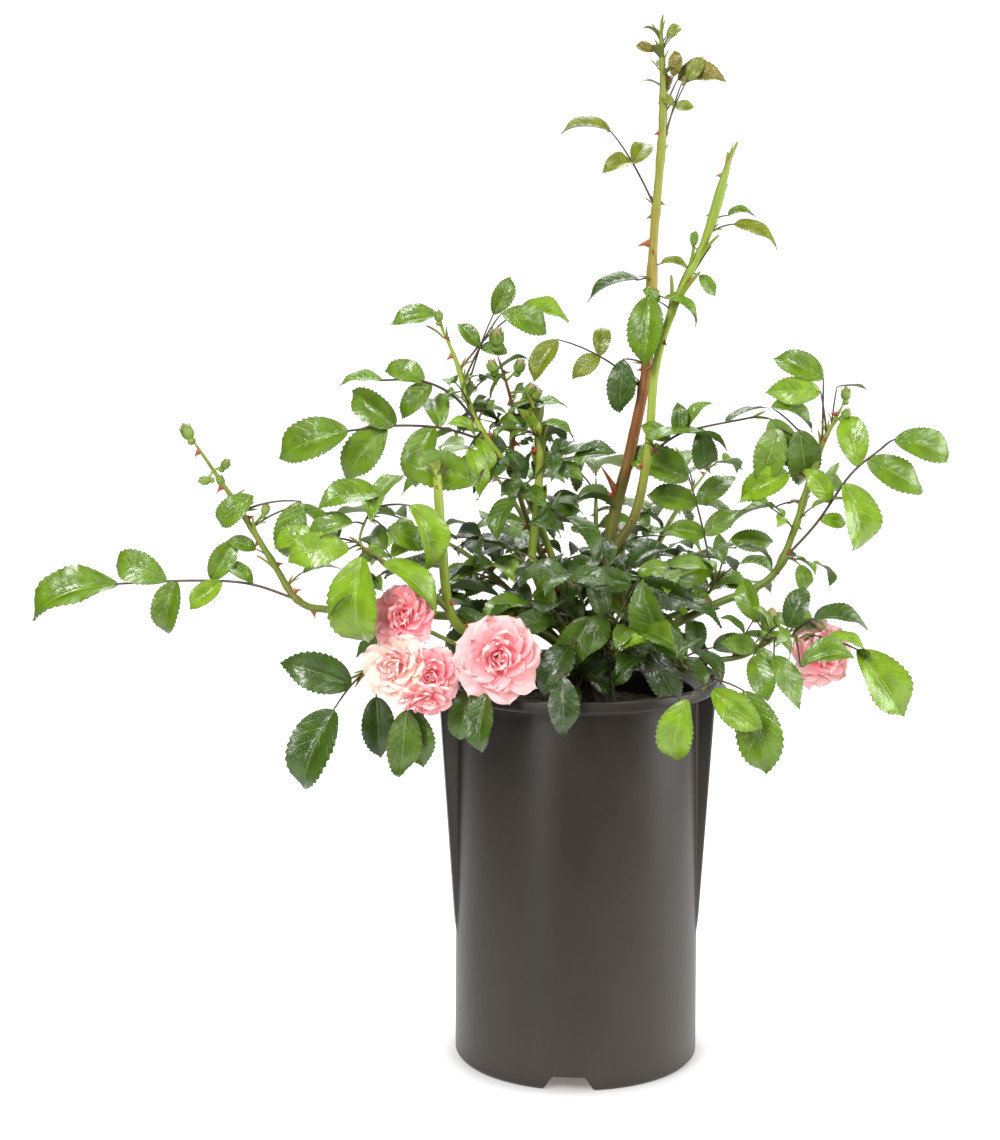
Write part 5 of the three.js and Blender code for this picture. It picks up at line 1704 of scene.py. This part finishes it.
def caneTube(limb, points, faces):
    course, (thick, thin) = limb["course"], limb["radii"]
    length = course.length()
    rings, sides = max(6, int(length / caneLook["step"])), caneLook["sides"]
    first = len(points)
    side = course.heading(0).orthogonal().normalized()
    seed = first * 0.37
    for i in range(rings + 1):
        share = i / rings
        along = share * length
        ahead = course.heading(min(share, 0.999))
        side = (side - ahead * side.dot(ahead)).normalized()
        over = ahead.cross(side)
        radius = (thick + (thin - thick) * share) * caneSwell(limb, length, along)
        centre = course.at(share)
        for j in range(sides):
            angle = tau * j / sides
            spot = Vector((math.cos(angle) * 1.3, math.sin(angle) * 1.3 + seed, along * 0.13))
            ridge = caneLook["ridge"] * math.sin(5 * angle + along * 0.03)
            rough = 1 + noise.noise(spot) * caneLook["rough"] + ridge
            points.append(centre + (side * math.cos(angle) + over * math.sin(angle)) * radius * rough)
    faces += gridFaces(rings + 1, sides, first)
    for ring, shift, flip in ((0, -1, True), (rings, 0.3, False)):
        points.append(course.at(ring / rings) + course.heading(0.999 if ring else 0.001) * shift)
        faces += fanFaces(len(points) - 1, first + ring * sides, sides, flip)


def canePiece(bark):
    points, faces = [], []
    for limb in limbs:
        if limb["bark"] == bark:
            caneTube(limb, points, faces)
    return faceOut(meshObject(f"canes_{bark}", [point * mm for point in points], faces))


def limbNodes(bark):
    return [cane["name"] for cane in canes if cane["bark"] == bark and cane["split"] > 0]


for bark, finish in barkFinishes.items():
    settle(canePiece(bark), finish, limbNodes(bark))


# Prickles down the older canes, and what stands out on two of them: cane, share, way, length, width
thorns = [
    ("tall_cane", 0.665, (-1, -0.3, 0.1), 8.5, 7),
    ("tall_cane", 0.245, (-1, -0.4, 0.1), 8, 6.5),
    ("tall_cane", 0.24, (-0.45, -0.35, 1), 25, 7),
    ("forked_cane", 0.475, (-0.8, -0.6, 0), 6.5, 5.5),
]
prickleRule = dict(thickest=2.05, spacing=17, ends=(0.08, 0.97), size=(3.2, 5.6), sunk=0.8, slim=0.8)


def pricklePlace(limb, share, out, size, width):
    thick, thin = limb["radii"]
    foot = limb["course"].at(share) + out * (thick + (thin - thick) * share) * prickleRule["sunk"]
    return foot, out, limb["course"].heading(share), (size, width * prickleRule["slim"], width), 0


def pricklePlaces():
    places = []
    byName = {limb["name"]: limb for limb in limbs}
    for name, share, way, size, width in thorns:
        places.append(pricklePlace(byName[name], share, Vector(way).normalized(), size, width))
    spacing, (low, high) = prickleRule["spacing"], prickleRule["ends"]
    for i, limb in enumerate(limbs):
        if limb["radii"][0] < prickleRule["thickest"]:
            continue
        dice, length = Dice(seeds["prickle"] + i), limb["course"].length()
        for k in range(int(length / spacing)):
            share = min(high, max(low, (k + dice.roll(0.2, 0.9)) * spacing / length))
            ahead = limb["course"].heading(share)
            out = Quaternion(ahead, dice.roll(0, tau)) @ ahead.orthogonal().normalized()
            size = dice.roll(*prickleRule["size"])
            places.append(pricklePlace(limb, share, out, size, size))
    return places


def prickleFinish():
    finish = Finish("prickle", Roughness=0.4)
    patches = finish.noise(90, 1).between(0.4, 0.6)
    finish.put(Base_Color=finish.mix(patches, (0.36, 0.055, 0.022), (0.34, 0.12, 0.04)))
    return finish.material


strew("prickles", pricklePlaces(), prickleShapes, prickleFinish())
tell("canes and prickles made")


# Stalks and twigs, by colour

def stalkPiece(kind):
    points, edges, widths = [], [], []
    for line in plant.stalks[kind]:
        first = len(points)
        points += [point for point, _ in line]
        widths += [radius * mm for _, radius in line]
        edges += [(first + i, first + i + 1) for i in range(len(line) - 1)]
    seeds = seedObject(f"stalks_{kind}", points, edges, thickness=("FLOAT", "value", widths))
    return grown(seeds, stalkTree, Sides=9, Thickness=1.0, Finish=stalkFinishes[kind])


for kind in plant.stalks:
    settle(stalkPiece(kind), None)


# Leaflets, in one piece for each tint; a spray's node goes with the piece that most of its leaves are in

def leafPlace(i, base, x, z, length, droop):
    dice = Dice(seeds["leafPlace"] + 7 * i)
    breadth, kind = dice.roll(0.9, 1.08), dice.pick(leafletLook["kinds"])
    length *= leafletLook["curled"]
    return base, x, z, (length, length * breadth, length * (0.5 + droop * 5)), kind


for tint, sprigs in plant.leaflets.items():
    places = [leafPlace(i, *sprig) for i, sprig in enumerate(sprigs)]
    nodes = [name for name, main in sprayTints.items() if main == tint]
    strew(f"leaves_{tint}", places, leafletShapes, leafFinishes[tint], nodes=nodes)
    tell(f"leaves {tint}: {len(places)} leaflets")


# Blooms, their sepals and the buds

def petalPlace(i, base, x, z, length, form):
    dice, variants = Dice(seeds["petalPlace"] + 11 * i), petalLook["variants"]
    breadth, kind = dice.roll(0.92, 1.1), form * variants + dice.pick(variants)
    return base, x, z, (length, length * breadth, length * dice.roll(0.8, 1.2)), kind


for tint, petals in plant.petals.items():
    places = [petalPlace(i, *petal) for i, petal in enumerate(petals)]
    strew(f"petals_{tint}", places, petalShapes, petalFinishes[tint])

calyx = dict(count=5, out=0.55, ahead=0.1, open=0.22, size=(2.1, 1.7, 1.6))
slimness = dict(bud=0.92, bloomSepal=1.2, bract=0.55)
budPlaces, sepalPlaces = [], []
for base, along, radius in plant.buds:
    side = along.orthogonal().normalized()
    slim = radius * slimness["bud"]
    budPlaces.append((base, along, side, (radius, slim, slim), 0))
    for k in range(calyx["count"]):
        out = Quaternion(along, tau * k / calyx["count"] + radius) @ side
        start = base + out * radius * calyx["out"] + along * radius * calyx["ahead"]
        x, z = (along + out * calyx["open"]).normalized(), (out - along * calyx["open"]).normalized()
        sepalPlaces.append((start, x, z, [radius * share for share in calyx["size"]], 0))
for base, x, z, length in plant.sepals:
    size = length * slimness["bloomSepal"], length, length
    sepalPlaces.append((base, x, (z - x * z.dot(x)).normalized(), size, 0))
bractPlaces = [
    (base, x, z, (length, length * slimness["bract"], length), 0) for base, x, z, length in plant.bracts
]
bractFinish = stalkFinish("bract", (0.19, 0.28, 0.025), (0.25, 0.21, 0.03))
sepalFinish = stalkFinish("sepal", (0.16, 0.26, 0.04), (0.24, 0.33, 0.07))
strew("bracts", bractPlaces, sepalShapes, bractFinish)
strew("buds", budPlaces, budShapes, budFinish())
strew("sepals", sepalPlaces, sepalShapes, sepalFinish)
tell("blooms and buds made")


# The setting: a pale floor and backdrop with a painted shadow round the pot's foot, soft light from both
# sides and above

stageLook = dict(
    front=-0.42, back=2.1, rise=0.5, top=1.6, narrow=0.45, wide=1.3, glow=0.94, shade=(0.06, 0.105),
)


def stageSheet():
    look, curve = stageLook, 12
    rows = [(look["narrow"], look["front"], 0), (look["wide"], look["back"], 0)]
    for i in range(1, curve + 1):
        turn = i / curve * math.pi / 2
        y, z = look["back"] + look["rise"] * math.sin(turn), look["rise"] * (1 - math.cos(turn))
        rows.append((look["wide"], y, z))
    rows.append((look["wide"], look["back"] + look["rise"], look["top"]))
    points = [(side * across, y, z) for across, y, z in rows for side in (-1, 1)]
    faces = [(2 * i, 2 * i + 1, 2 * i + 3, 2 * i + 2) for i in range(len(rows) - 1)]
    made = meshObject("backdrop", points, faces)
    finish = Finish(
        "paper", Base_Color=(0.3, 0.3, 0.3, 1), Roughness=0.9, Specular_IOR_Level=0.1,
        Emission_Strength=look["glow"],
    )
    # The floor's glow is painted darker close to the origin: a painted contact shadow under and round the
    # pot's foot
    reach = finish.node("ShaderNodeVectorMath", {"operation": "LENGTH"}, {0: finish.where()}, 1)
    glow = finish.mix(reach.between(*look["shade"]), (0.22, 0.20, 0.18), (1.0, 1.0, 1.0))
    finish.put(Emission_Color=glow)
    made.data.materials.append(finish.material)
    return made


# Soft lamps: place, aim, size and power
lamps = dict(
    key=((-0.95, -1.6, 1.75), (0, 0, 0.4), (0.9, 0.8), 50),
    fill=((1.3, -1.6, 1.1), (0, 0, 0.35), (0.8, 0.8), 18),
    strip=((-0.53, -0.85, 0.26), (0, 0, 0.16), (0.05, 0.5), 2.2),
    right=((1.1, -0.05, 0.45), (0, 0, 0.25), (0.7, 0.9), 13),
    left=((-1.2, 0.5, 0.5), (0, 0, 0.25), (0.3, 0.8), 0.6),
    top=((0.0, 1.0, 1.9), (0, 0, 0.4), (1.2, 1.0), 28),
)
cameraLook = dict(place=(-0.049, -1.45, 0.5316), pitch=8.5, lens=73.3, sensor=36)


def lamp(name, place, aim, size, power):
    data = bpy.data.lights.new(name, "AREA")
    data.shape = "RECTANGLE"
    data.size, data.size_y = size
    data.energy = power
    made = placed(name, data)
    made.location = place
    made.rotation_euler = (Vector(aim) - Vector(place)).to_track_quat("-Z", "Y").to_euler()


def lightWorld(colour, strength):
    world = bpy.data.worlds.new("room")
    scene.world = world
    world.use_nodes = True
    background = world.node_tree.nodes["Background"]
    background.inputs["Color"].default_value = (*colour, 1)
    background.inputs["Strength"].default_value = strength


def placeCamera(place, pitch, lens, sensor):
    data = bpy.data.cameras.new("camera")
    data.lens, data.sensor_width = lens, sensor
    made = placed("camera", data)
    made.location = place
    made.rotation_euler = (math.radians(90 - pitch), 0, 0)
    scene.camera = made


stageSheet()
lightWorld((1, 1, 1), 0.2)
for name, look in lamps.items():
    lamp(name, *look)
placeCamera(**cameraLook)
scene.view_settings.view_transform = "Standard"

for store in shapeStores:
    for shape in list(store.objects):
        bpy.data.objects.remove(shape)
    bpy.data.collections.remove(store)

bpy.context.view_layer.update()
tell("done")
